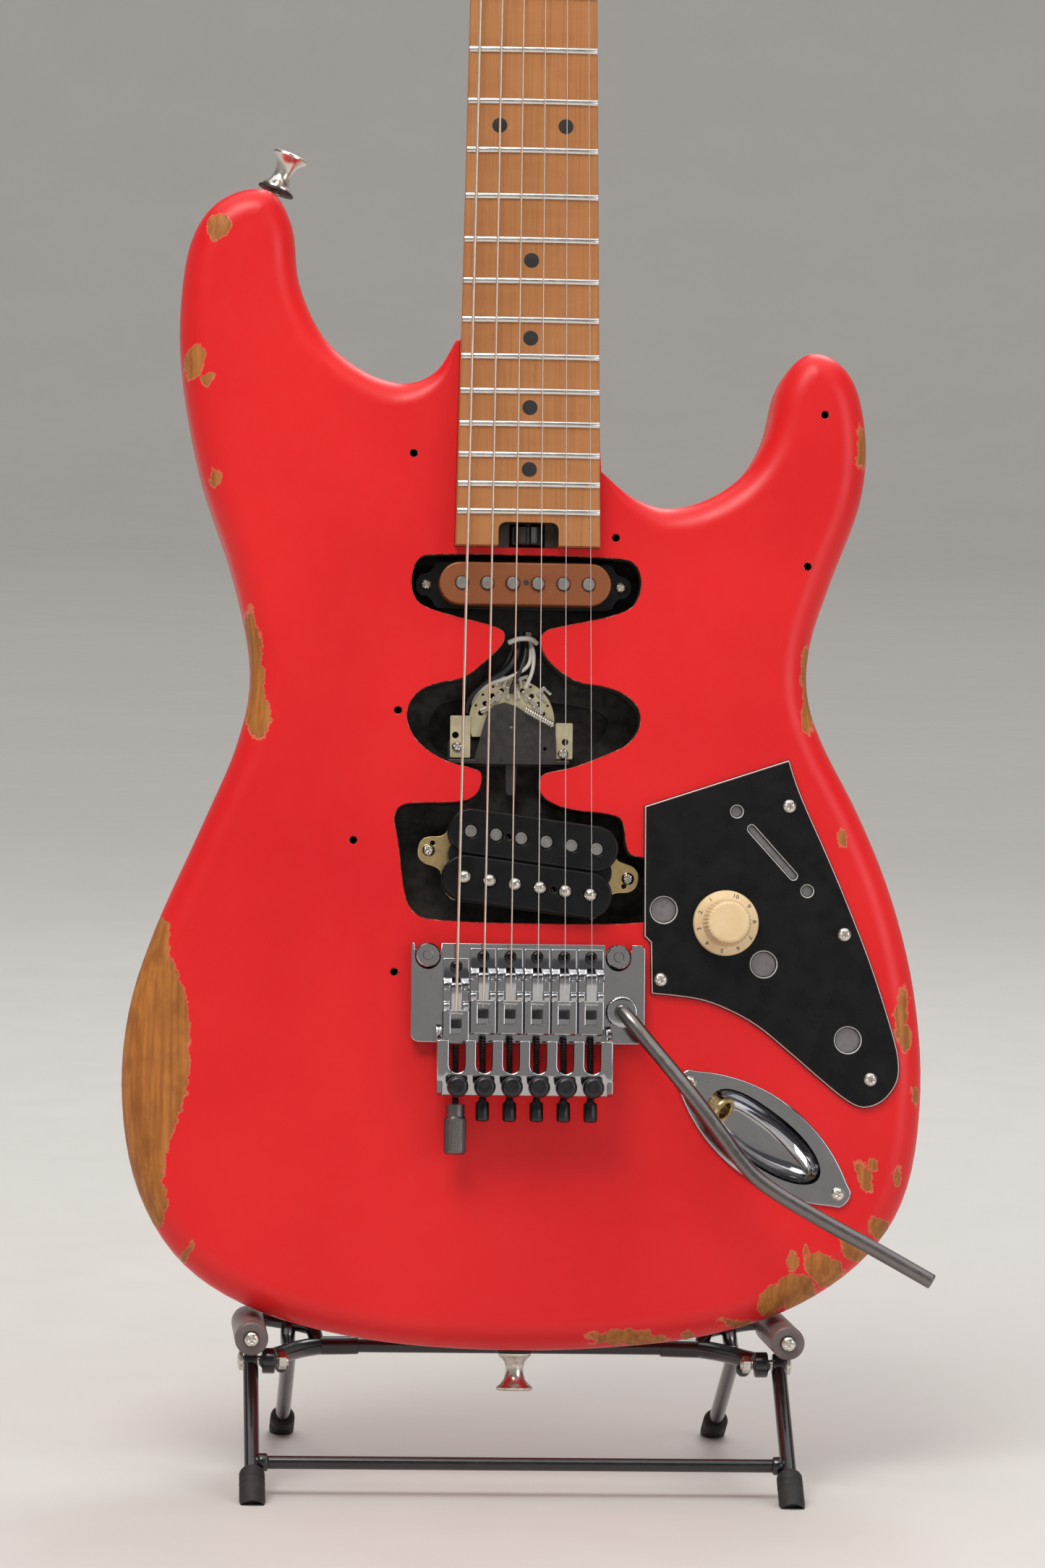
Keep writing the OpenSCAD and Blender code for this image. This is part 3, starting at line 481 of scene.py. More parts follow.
class Look:
    """A material built from nodes. Lengths are in millimetres, in guitar or stand axes."""

    def __init__(self, name, place="guitar", **shader):
        self.mat = bpy.data.materials.new(name)
        self.mat.use_nodes = True
        self.tree = self.mat.node_tree
        self.shader = self.tree.nodes["Principled BSDF"]
        for key, value in shader.items():
            self.set(key.replace("_", " "), value)
        coords = self.tree.nodes.new("ShaderNodeTexCoord").outputs["Object"]
        turn = LEAN if place == "guitar" else 0
        origin = SADDLE_LINE if place == "guitar" else STAND_SHIFT
        shift = -(Matrix.Rotation(turn, 3, "X") @ origin)
        self.at = self.node("ShaderNodeMapping", Vector=coords, Scale=(1000, 1000, 1000),
                            Rotation=(turn, 0, 0), Location=tuple(shift)).outputs[0]
        LOOKS[name] = self.mat

    def set(self, socket, value):
        """Sets or links one of the shader's own sockets."""
        target = self.shader.inputs[socket]
        if isinstance(value, bpy.types.NodeSocket):
            self.tree.links.new(value, target)
        else:
            target.default_value = value if not isinstance(value, tuple) else (*value, 1)[:4]

    def node(self, kind, props=None, **inputs):
        n = self.tree.nodes.new(kind)
        for key, value in (props or {}).items():
            setattr(n, key, value)
        for key, value in inputs.items():
            slot = n.inputs[int(key[1:])] if key[0] == "_" else n.inputs[key.replace("_", " ")]
            if isinstance(value, bpy.types.NodeSocket):
                self.tree.links.new(value, slot)
            else:
                slot.default_value = value
        return n

    def noise(self, size, detail=3, rough=0.5, stretch=(1, 1, 1), at=None, warp=0.0):
        """Noise whose features are about size millimetres across."""
        at = at or self.at
        if stretch != (1, 1, 1):
            at = self.node("ShaderNodeVectorMath", {"operation": "MULTIPLY"},
                           _0=at, _1=stretch).outputs[0]
        return self.node("ShaderNodeTexNoise", Vector=at, Scale=1 / size, Detail=detail,
                         Roughness=rough, Distortion=warp).outputs[0]

    def range(self, value, low, high, to=(0, 1)):
        return self.node("ShaderNodeMapRange", {"interpolation_type": "SMOOTHSTEP"}, Value=value,
                         From_Min=low, From_Max=high, To_Min=to[0], To_Max=to[1]).outputs[0]

    def math(self, kind, a, b=0.0):
        return self.node("ShaderNodeMath", {"operation": kind}, _0=a, _1=b).outputs[0]

    def mix(self, fac, a, b):
        """Colour a where fac is 0, b where it is 1."""
        n = self.tree.nodes.new("ShaderNodeMix")
        n.data_type = "RGBA"
        for slot, value in ((0, fac), (6, a), (7, b)):
            if isinstance(value, bpy.types.NodeSocket):
                self.tree.links.new(value, n.inputs[slot])
            else:
                n.inputs[slot].default_value = (*value, 1)[:4] if isinstance(value, tuple) else value
        return n.outputs[2]

    def bump(self, height, strength, depth, under=None):
        """Bump of depth millimetres; under is another bump's output."""
        extra = {"Normal": under} if under else {}
        return self.node("ShaderNodeBump", Height=height, Strength=strength,
                         Distance=depth / 1000, **extra).outputs[0]

    def split(self):
        return self.node("ShaderNodeSeparateXYZ", Vector=self.at).outputs


def tones(look, size, dark, light, detail=4, stretch=(1, 1, 1)):
    """Colour that wanders between two tones."""
    fac = look.range(look.noise(size, detail, 0.6, stretch), 0.3, 0.7)
    return look.mix(fac, dark, light)


# Bare patches of the body: middle u, v and half sizes, then the turn in degrees
WORN = ((-106, 118, 3.6, 24, -4), (-104, 101, 4.5, 8, 0), (-122, 293, 4.4, 5.2, 20),
        (-131, 240, 3.6, 6.6, 10), (-126, 233, 2.4, 1.8, 0), (-122, 194, 1.9, 3, 0),
        (-129, -108, 1.4, 4.6, 30), (132, 211, 2.4, 7.4, 0), (112.5, 117, 3.4, 14, -6),
        (111.5, 104, 2.4, 6, 0), (125, 56, 1.7, 3.2, 0), (149, -12, 2.6, 10, 8),
        (151, -22, 2.4, 5, 10), (155, -44, 1.6, 2.6, 0), (134.5, -76, 2.4, 6, -25),
        (138, -71, 1.8, 2.4, 0), (148, -76, 1.4, 3.4, 0), (107, -109, 2.2, 3.4, 0),
        (112, -105, 1, 1.8, 0), (99, -125, 5, 6, 30), (109, -121, 8, 6.6, 32),
        (120, -113, 9, 5.6, 35), (132, -103, 9, 4.6, 42), (141, -96, 5, 3.6, 50),
        (43, -139.5, 15, 2.8, 2), (66.6, -138.4, 2.2, 1.8, 0), (89, -134.5, 9, 1.4, 12))
# Inner edge of the large patch where the forearm rests: (v, u)
ARM_PATCH = ((-98, -141), (-94, -138), (-87, -137.4), (-76, -139), (-66, -136.4), (-54, -133.2),
             (-42, -130), (-26, -129.8), (-13, -130.2), (-4, -132.6), (6, -136.6), (13, -138),
             (19, -137.2), (22, -142))


def worn_mask(look):
    """Distance into the bare patches: over 0 inside, under 0 outside, in millimetres."""
    rough = look.node("ShaderNodeTexNoise", {"noise_dimensions": "3D"}, Vector=look.at, Scale=0.22,
                      Detail=7, Roughness=0.62)
    wander = look.node("ShaderNodeVectorMath", {"operation": "MULTIPLY_ADD"}, _0=rough.outputs[1],
                       _1=(7, 16, 9), _2=look.at).outputs[0]
    at = look.node("ShaderNodeVectorMath", {"operation": "SUBTRACT"}, _0=wander,
                   _1=(3.5, 8, 4.5)).outputs[0]
    axes = look.node("ShaderNodeSeparateXYZ", Vector=at).outputs
    best = -50.0
    for u, v, half_u, half_v, turn in WORN:
        # The body's depth does not count, so that axis hands the result on to the next patch
        spot = look.node("ShaderNodeCombineXYZ", X=axes[0], Y=best, Z=axes[2]).outputs[0]
        place = look.node("ShaderNodeMapping", {"vector_type": "TEXTURE"}, Vector=spot,
                          Location=(u, 0, v), Rotation=(0, math.radians(turn), 0),
                          Scale=(half_u, 1e4, half_v)).outputs[0]
        far = look.node("ShaderNodeVectorMath", {"operation": "LENGTH"}, _0=place).outputs["Value"]
        inside = look.node("ShaderNodeMath", {"operation": "MULTIPLY_ADD"}, _0=far,
                           _1=-min(half_u, half_v), _2=min(half_u, half_v)).outputs[0]
        best = look.math("MAXIMUM", best, inside)
    low, high = ARM_PATCH[0][0], ARM_PATCH[-1][0]
    along_v = look.node("ShaderNodeMapRange", Value=axes[2], From_Min=low, From_Max=high).outputs[0]
    edge = look.tree.nodes.new("ShaderNodeFloatCurve")
    line = edge.mapping.curves[0]
    spots = [((v - low) / (high - low), (u + 145) / 20) for v, u in ARM_PATCH]
    line.points[0].location, line.points[1].location = spots[0], spots[-1]
    for spot in spots[1:-1]:
        line.points.new(*spot)
    edge.mapping.update()
    look.tree.links.new(along_v, edge.inputs["Value"])
    inner = look.node("ShaderNodeMath", {"operation": "MULTIPLY_ADD"}, _0=edge.outputs[0],
                      _1=20.0, _2=-145.0).outputs[0]
    left = look.math("SUBTRACT", inner, axes[0])
    above = look.math("SUBTRACT", axes[2], low)
    below = look.math("SUBTRACT", float(high), axes[2])
    patch = look.math("MINIMUM", left, look.math("MINIMUM", above, below))
    ragged = look.math("MULTIPLY", look.noise(16, 4, 0.6), 26.0)
    front = look.math("SUBTRACT", ragged, look.math("SUBTRACT", axes[1], 6.0))
    return look.math("MINIMUM", look.math("MAXIMUM", best, patch), front)


def red_paint():
    look = Look("red_paint", Specular_IOR_Level=0.4)
    inside = worn_mask(look)
    bare = look.range(inside, 0.0, 0.12)
    fringe = look.math("MULTIPLY", look.range(inside, -0.55, -0.25), look.range(inside, 0.25, 0.05))
    red = tones(look, 120, (0.72, 0.008, 0.012), (0.82, 0.015, 0.018), 2)
    grain = look.noise(2.4, 5, 0.6, (1, 1, 0.05))
    wood = look.mix(look.range(grain, 0.35, 0.68), (0.33, 0.105, 0.016), (0.52, 0.19, 0.034))
    soil = look.range(look.noise(14, 5, 0.65), 0.45, 0.72)
    wood = look.mix(look.math("MULTIPLY", soil, 0.55), wood, (0.21, 0.06, 0.010))
    colour = look.mix(look.math("MULTIPLY", fringe, 0.6), red, (0.66, 0.25, 0.12))
    colour = look.mix(bare, colour, wood)
    look.set("Base Color", colour)
    satin = look.range(look.noise(9, 5, 0.6), 0.3, 0.7, (0.33, 0.40))
    rough = look.math("ADD", satin, look.math("MULTIPLY", bare, 0.16))
    look.set("Roughness", rough)
    peel = look.bump(look.noise(1.1, 2), 0.05, 0.12)
    fibres = look.bump(look.math("MULTIPLY", grain, bare), 0.25, 0.2, peel)
    step = look.bump(look.range(inside, -0.15, 0.25, (1, 0)), 0.6, 0.35, fibres)
    look.set("Normal", step)


def dark_cavity():
    """Black shielding paint, with red and bare chips along the top of its walls."""
    look = Look("dark_cavity")
    black = tones(look, 7, (0.010, 0.009, 0.008), (0.035, 0.029, 0.024), 6)
    dust = look.range(look.noise(22, 6, 0.7), 0.52, 0.75)
    inner = look.mix(dust, black, (0.075, 0.052, 0.036))
    chips = look.range(look.noise(3.2, 6, 0.75), 0.50, 0.58)
    lip = look.mix(chips, (0.55, 0.02, 0.02), (0.62, 0.26, 0.14))
    depth = look.math("ADD", look.split()[1], look.math("MULTIPLY", look.noise(4, 5, 0.7), 2.4))
    look.set("Base Color", look.mix(look.range(depth, 1.55, 1.85), lip, inner))
    look.set("Roughness", look.range(look.noise(4, 4), 0.3, 0.7, (0.55, 0.85)))
    look.set("Normal", look.bump(look.noise(1.6, 5, 0.65), 0.5, 0.4))


def roasted_maple():
    look = Look("roasted_maple", Specular_IOR_Level=0.35)
    warm = tones(look, 70, (0.42, 0.165, 0.055), (0.49, 0.205, 0.072), 3, (1, 1, 0.35))
    lines = look.noise(0.9, 6, 0.62, (1, 0.6, 0.018), warp=0.25)
    streaks = look.math("MULTIPLY", look.range(lines, 0.42, 0.75), 0.5)
    wood = look.mix(streaks, warm, (0.25, 0.09, 0.03))
    pores = look.range(look.noise(0.35, 3, 0.6, (1, 1, 0.05)), 0.62, 0.74)
    wood = look.mix(look.math("MULTIPLY", pores, 0.5), wood, (0.17, 0.06, 0.02))
    flame = look.range(look.noise(6, 2, 0.5, (0.35, 0.35, 1.4)), 0.3, 0.7)
    wood = look.mix(look.math("MULTIPLY", flame, 0.1), wood, (0.66, 0.34, 0.13))
    look.set("Base Color", wood)
    look.set("Roughness", look.range(lines, 0.3, 0.7, (0.40, 0.52)))
    look.set("Normal", look.bump(lines, 0.18, 0.12))


def metal(name, base, rough, size=6.0, spread=0.05, tarnish=None, bump=0.04, stretch=(1, 1, 1),
          place="guitar", **more):
    """Metal with smudges in its gloss, and spots of tarnish if a colour is given."""
    look = Look(name, place, Metallic=1.0, **more)
    smudge = look.noise(size, 5, 0.6, stretch)
    colour = tones(look, size * 2, tuple(c * 0.93 for c in base), base, 4, stretch)
    if tarnish:
        spots = look.range(look.noise(size * 0.6, 6, 0.7, stretch), 0.54, 0.72)
        colour = look.mix(look.math("MULTIPLY", spots, 0.7), colour, tarnish)
    look.set("Base Color", colour)
    look.set("Roughness", look.range(smudge, 0.3, 0.7, (rough, rough + spread)))
    look.set("Normal", look.bump(look.noise(0.5, 4, 0.6, stretch), bump, 0.1))
    return look


def plastic(name, dark, light, rough, spread=0.1, bump=0.05, grain=0.6, place="guitar", dust=None,
            **more):
    """Moulded plastic, rubber or paint with a fine grain, and dust if a colour is given."""
    look = Look(name, place, **more)
    colour = tones(look, 8, dark, light, 5)
    if dust:
        specks = look.range(look.noise(1.2, 6, 0.75), 0.62, 0.74)
        colour = look.mix(look.math("MULTIPLY", specks, 0.5), colour, dust)
    look.set("Base Color", colour)
    look.set("Roughness", look.range(look.noise(5, 5, 0.65), 0.3, 0.7, (rough, rough + spread)))
    look.set("Normal", look.bump(look.noise(grain, 3), bump, 0.15))
    return look


# Spacing of the winding on the thick strings, and of the two threads of the woven sheet
WINDING = 0.42
WARP = 1.15
WEFT = 0.95


def wound_string():
    look = metal("wound_string", (0.84, 0.72, 0.60), 0.30, 3, 0.1)
    v = look.split()[2]
    turns = look.math("SINE", look.math("MULTIPLY", v, math.tau / WINDING))
    look.set("Normal", look.bump(turns, 0.15, 0.04))


def amber_fibre():
    """Woven sheet soaked in amber resin."""
    look = Look("amber_fibre", Coat_Weight=0.5, Coat_Roughness=0.12)
    axes = look.split()
    warp = look.math("SINE", look.math("MULTIPLY", axes[0], math.tau / WARP))
    weft = look.math("SINE", look.math("MULTIPLY", axes[2], math.tau / WEFT))
    weave = look.math("MULTIPLY", warp, weft)
    over = look.range(weave, -0.8, 0.8)
    colour = look.mix(over, (0.14, 0.030, 0.003), (0.36, 0.092, 0.008))
    stain = look.range(look.noise(5, 5, 0.6), 0.35, 0.7)
    look.set("Base Color", look.mix(look.math("MULTIPLY", stain, 0.4), colour, (0.26, 0.075, 0.012)))
    look.set("Roughness", look.range(over, 0, 1, (0.55, 0.38)))
    look.set("Normal", look.bump(weave, 0.35, 0.15))


def sleeve_rubber():
    """Cloudy grey rubber that lets some light in."""
    look = Look("sleeve_rubber", "stand", Subsurface_Weight=0.35, Subsurface_Scale=0.004,
                Coat_Weight=0.25, Coat_Roughness=0.2)
    look.set("Base Color", tones(look, 9, (0.12, 0.095, 0.092), (0.17, 0.135, 0.13)))
    look.set("Roughness", look.range(look.noise(3, 5), 0.3, 0.7, (0.36, 0.52)))
    look.set("Normal", look.bump(look.noise(0.7, 4), 0.12, 0.1))


def make_materials():
    red_paint()
    dark_cavity()
    roasted_maple()
    metal("black_steel", (0.085, 0.08, 0.08), 0.38, 3, 0.15, (0.14, 0.10, 0.07))
    metal("fret_wire", (0.80, 0.79, 0.77), 0.16, 4, 0.12)
    plastic("black_dot", (0.012, 0.012, 0.012), (0.022, 0.021, 0.02), 0.45)
    metal("chrome", (0.52, 0.52, 0.545), 0.05, 7, 0.07, (0.42, 0.40, 0.39), 0.02)
    metal("nickel", (0.74, 0.70, 0.64), 0.20, 2.5, 0.14, (0.40, 0.34, 0.27))
    plastic("black_plastic", (0.005, 0.005, 0.006), (0.010, 0.010, 0.011), 0.26, dust=(0.022, 0.020, 0.018),
            Specular_IOR_Level=0.24)
    amber_fibre()
    metal("pole_steel", (0.34, 0.33, 0.32), 0.42, 1.6, 0.15, (0.22, 0.20, 0.18), 0.1)
    metal("brass", (0.80, 0.60, 0.29), 0.22, 3, 0.15, (0.42, 0.28, 0.12))
    plastic("cream_fibre", (0.40, 0.35, 0.215), (0.52, 0.46, 0.30), 0.45, bump=0.2, dust=(0.2, 0.15, 0.09))
    plastic("cream_plastic", (0.80, 0.585, 0.325), (0.86, 0.66, 0.40), 0.28, Subsurface_Weight=0.12,
            Subsurface_Scale=0.002)
    metal("block_steel", (0.20, 0.185, 0.18), 0.34, 4, 0.15, (0.24, 0.20, 0.17))
    metal("black_hardware", (0.055, 0.055, 0.06), 0.26, 2, 0.16, (0.11, 0.085, 0.065))
    metal("brushed_arm", (0.23, 0.215, 0.21), 0.27, 3, 0.08, None, 0.05)
    metal("string_steel", (0.84, 0.81, 0.77), 0.16, 3, 0.08)
    wound_string()
    plastic("wire_cover", (0.012, 0.012, 0.013), (0.022, 0.022, 0.023), 0.42)
    metal("foil", (0.30, 0.28, 0.29), 0.42, 2.5, 0.2, (0.16, 0.14, 0.15), 0.5)
    plastic("white_wire", (0.52, 0.50, 0.46), (0.64, 0.62, 0.58), 0.42)
    plastic("white_ply", (0.60, 0.58, 0.54), (0.72, 0.70, 0.66), 0.35)
    # Dark brown: the printed knob numbers and the pickup eyelets, and painted shade on the walls of the
    # truss-rod notch
    plastic("dark_mark", (0.035, 0.022, 0.014), (0.07, 0.045, 0.03), 0.5)
    plastic("stand_black", (0.006, 0.006, 0.007), (0.012, 0.012, 0.013), 0.16, place="stand",
            dust=(0.05, 0.05, 0.05), Coat_Weight=0.6, Coat_Roughness=0.1)
    sleeve_rubber()
    plastic("foot_rubber", (0.012, 0.012, 0.012), (0.024, 0.023, 0.022), 0.62, place="stand", bump=0.2)
    plastic("pad_foam", (0.010, 0.010, 0.011), (0.022, 0.022, 0.023), 0.85, place="stand", bump=0.6,
            grain=0.5)


# ---- body ----


def body_outline():
    """Smooth outline, and how far its edge may be rounded at each point."""
    loop = curve(BODY_POINTS, 5) + [Vector((-26.8, 250)), Vector((0, 250)), Vector((26.8, 250))]
    spaced = []
    for a, b in zip(loop, loop[1:] + loop[:1]):
        for k in range(max(1, round((b - a).length / 4.5))):
            spaced.append(a.lerp(b, k / max(1, round((b - a).length / 4.5))))
    if area(spaced) < 0:
        spaced.reverse()
    limits = []
    for p in spaced:
        clear = min((p - Vector(q)).length for q in ((-28.5, 250), (-14, 250), (0, 250), (14, 250),
                                                     (27, 250), (28, 225), (29, 199)))
        limits.append(max(0.06, min(1, (clear - 2) / 26)))
    return spaced, limits


def cutters():
    """Solids that the body's pockets and holes are cut with."""
    top = neck_half(260) + 0.2
    pocket = ((-28.5, 168.5), (28.5, 168.5), (top, 260), (-top, 260))
    tools = [(prism, [softened(CAVITY_POINTS)], [(-0.35, -1), (-0.35, 0.05), (0, 0.5), (0, 20)]),
             (prism, [softened(SWITCH_POCKET)], [(0, 2), (0, 24)]),
             (prism, [softened(CONTROL_CAVITY)], [(0, -1), (0, 36)]),
             (prism, [pill(60, 12)], [(0, -1), (0, 4)], JACK @ FACE),
             (prism, [pill(72, 14)], [(0, 3), (0, 28)], JACK @ FACE),
             (tube, [(96, 24, -50), (100, 26, -12)], 4),
             (prism, [rounded(76, 32, 2, (0, -9))], [(0, -1), (0, BODY_T + 1)]),
             (prism, [rounded(72, 146, 6, (0, 43))], [(0, 28), (0, BODY_T + 1)]),
             (prism, [pocket], [(0, -1), (0, 16)])]
    tools += [(lathe, [(5.05, -1), (5.05, 24)], at_face(s * POST[0], POST[1])) for s in (-1, 1)]
    tools += [(lathe, [(1.9, -1), (1.75, 0.05), (1.3, 0.9), (1.2, 12)], at_face(u, v), 16)
              for u, v in EMPTY_HOLES]
    return [cutter("dark_cavity", *tool) for tool in tools]


CUT_LOOKS = ("dark_cavity", "roasted_maple", "chrome", "black_hardware", "dark_mark")


def cutter(look, make, *shape):
    """A tool for cut(), made by prism, lathe, tube or loft, whose faces show one of CUT_LOOKS."""
    bm = bmesh.new()
    make(bm, *shape)
    bm.transform(GUITAR)
    bmesh.ops.recalc_face_normals(bm, faces=bm.faces)
    for face in bm.faces:
        face.material_index = 1 + CUT_LOOKS.index(look)
    mesh = bpy.data.meshes.new("cutter")
    bm.to_mesh(mesh)
    bm.free()
    for name in (CUT_LOOKS[0],) + CUT_LOOKS:
        mesh.materials.append(LOOKS[name])
    ob = bpy.data.objects.new("cutter", mesh)
    bpy.context.scene.collection.objects.link(ob)
    return ob


def cut(ob, tools, operation="DIFFERENCE"):
    """Cuts each tool out of an object for good, and removes the tools."""
    if len(ob.data.materials) == 1:
        for name in CUT_LOOKS:
            ob.data.materials.append(LOOKS[name])
    ob.modifiers.clear()
    for tool in tools:
        mod = ob.modifiers.new("cut", "BOOLEAN")
        mod.object = tool
        mod.operation = operation
        mod.solver = "EXACT"
        mod.material_mode = "INDEX"
    bpy.context.view_layer.update()
    ready = ob.evaluated_get(bpy.context.evaluated_depsgraph_get())
    mesh = bpy.data.meshes.new_from_object(ready)
    ob.modifiers.clear()
    ob.data = mesh
    for tool in tools:
        bpy.data.objects.remove(tool)
    mesh.shade_smooth()
    mesh.set_sharp_from_angle(angle=math.radians(38))
    mod = ob.modifiers.new("flat faces", "WEIGHTED_NORMAL")
    mod.keep_sharp = True


def guitar_body():
    loop, limits = body_outline()
    bm = bmesh.new()
    rows = corner(ROUNDOVER, 0, 0, 9) + corner(ROUNDOVER, 0, BODY_T, 9, True)
    body_rings(bm, loop, limits, rows)
    ob = piece("body.wood", bm, "guitar", "red_paint", replaces=["guitar_body"])
    cut(ob, cutters())


def body_rings(bm, loop, limits, rows):
    """The body's solid, whose edge is rounded less where limits say so."""
    sides = sideways(loop)
    rings = []
    for inset, depth in rows:
        ring = []
        for p, n, k in zip(loop, sides, limits):
            q = p + n * (inset * k)
            d = depth * k if depth <= BODY_T / 2 else BODY_T - (BODY_T - depth) * k
            ring.append(bm.verts.new((q.x, d, q.y)))
        rings.append(ring)
    skin(bm, rings, ends=False)
    for ring in (rings[0], rings[-1]):
        fill(bm, [[Vector((v.co.x, v.co.z)) for v in ring]], ring)


# ---- stage ----


def studio():
    scene = bpy.context.scene
    bm = bmesh.new()
    profile = [(0, 0), (3, 0), (10, 0)]
    profile += [(10 + 5 * math.sin(a / 20 * math.pi), 5 - 5 * math.cos(a / 20 * math.pi))
                for a in range(1, 11)] + [(15, 7.5)]
    lathe(bm, profile, Matrix.Identity(4), 96)
    bm.faces.remove(max(bm.faces, key=lambda face: len(face.verts)))
    mesh = bpy.data.meshes.new("floor")
    bm.to_mesh(mesh)
    bm.free()
    mesh.shade_smooth()
    floor = bpy.data.objects.new("floor", mesh)
    scene.collection.objects.link(floor)
    look = Look("floor_paint", "stand")
    look.set("Base Color", tones(look, 300, (0.635, 0.615, 0.59), (0.65, 0.63, 0.605), 3))
    look.set("Roughness", look.range(look.noise(40, 4), 0.3, 0.7, (0.55, 0.65)))
    look.set("Normal", look.bump(look.noise(2.0, 4), 0.05, 0.2))
    mesh.materials.append(LOOKS["floor_paint"])
    world = bpy.data.worlds.new("studio")
    scene.world = world
    world.use_nodes = True
    world.node_tree.nodes["Background"].inputs[0].default_value = (0.80, 0.82, 0.86, 1)
    world.node_tree.nodes["Background"].inputs[1].default_value = 0.12
    softbox("ceiling", (0, 0, 12), (0, 0, 0), 20, 1500, (1, 0.99, 0.97))
    softbox("key", (-0.6, -1.2, 2.2), (0, 0, 0.35), 1.1, 30, (1, 0.96, 0.91))
    softbox("fill", (1.7, -1.7, 0.9), (0, 0, 0.3), 1.2, 10, (0.95, 0.97, 1))
    softbox("rim", (0.5, 1.5, 1.8), (0, 0, 0.5), 1.0, 12, (1, 1, 1))
    scene.view_settings.view_transform = "Standard"


def softbox(name, at, to, size, power, colour):
    light = bpy.data.lights.new(name, "AREA")
    light.size = size
    light.energy = power
    light.color = colour
    ob = bpy.data.objects.new(name, light)
    bpy.context.scene.collection.objects.link(ob)
    ob.location = at
    ob.rotation_euler = (Vector(at) - Vector(to)).to_track_quat("Z", "Y").to_euler()


# Eye, its heading, tilt and roll in radians, and focal length for a 36 mm tall picture
EYE = (-0.1675, -2.5028, 0.4494)
HEADING = 0.0666
TILT = -0.0714
ROLL = 0.0194
FOCAL = 146.45


def camera():
    cam = bpy.data.cameras.new("camera")
    cam.lens = FOCAL
    cam.sensor_width = 36
    cam.clip_start = 0.05
    ob = bpy.data.objects.new("camera", cam)
    bpy.context.scene.collection.objects.link(ob)
    ahead = Vector((math.sin(HEADING) * math.cos(TILT), math.cos(HEADING) * math.cos(TILT), math.sin(TILT)))
    right = Vector((math.cos(HEADING), -math.sin(HEADING), 0))
    up = right.cross(ahead)
    side = right * math.cos(ROLL) + up * math.sin(ROLL)
    top = up * math.cos(ROLL) - right * math.sin(ROLL)
    ob.matrix_world = Matrix.Translation(EYE) @ Matrix((side, top, -ahead)).transposed().to_4x4()
    bpy.context.scene.camera = ob


def dress_nodes():
    """Gives every CAD node that still shows its finish."""
    for part in frame["record"]["subparts"]:
        ob = frame["nodes"][part["node"]]
        look = LOOKS[part["material_slot"]]
        for k in range(max(1, len(ob.material_slots))):
            if ob.material_slots:
                ob.material_slots[k].material = look
            else:
                ob.data.materials.append(look)


# ---- neck ----


def neck_ring(v, half, back, top):
    """Cross-section of the neck at height v, with rolled board edges."""
    ring = []
    for k in range(-8, 9):
        u = k / 8 * (half - 1.0)
        ring.append(Vector((u, top + BOARD_R - math.sqrt(BOARD_R ** 2 - u * u), v)))
    edge = top + 1.0 + (BOARD_R - math.sqrt(BOARD_R ** 2 - half ** 2))
    ring += [Vector((half - 0.3, edge - 0.7, v)), Vector((half, edge, v))]
    for k in range(1, 20):
        a = k / 20 * math.pi
        w = -BOARD_H + 6 + (back - 6) * math.sin(a) ** 0.72
        ring.append(Vector((half * math.cos(a), w, v)))
    ring += [Vector((-half, edge, v)), Vector((-half + 0.3, edge - 0.7, v))]
    return ring


def heel_ring(v, half):
    """Cross-section of the square heel, under the same curved board."""
    ring = neck_ring(v, half, 21, -BOARD_H)
    return ring[:19] + [Vector((half, 15.5, v)), Vector((half - 0.4, 15.95, v)),
                  Vector((-half + 0.4, 15.95, v)), Vector((-half, 15.5, v))] + ring[-2:]


def loft(bm, rings):
    """Solid through rings of points."""
    skin(bm, [[bm.verts.new(p) for p in ring] for ring in rings])


HEAD_POINTS = ((21.5, 650), (26.5, 660), (32, 672), (39.5, 688), (44, 706), (44.5, 728), (42.5, 752),
               (41, 778), (42, 804), (42.5, 824), (37, 837), (24, 842), (11, 837), (5, 826),
               (-33, 686), (-33.5, 677), (-29.5, 668), (-23, 660), (-20.9, 650))
HEAD_FRONT = -1.5
HEAD_BACK = 12.5


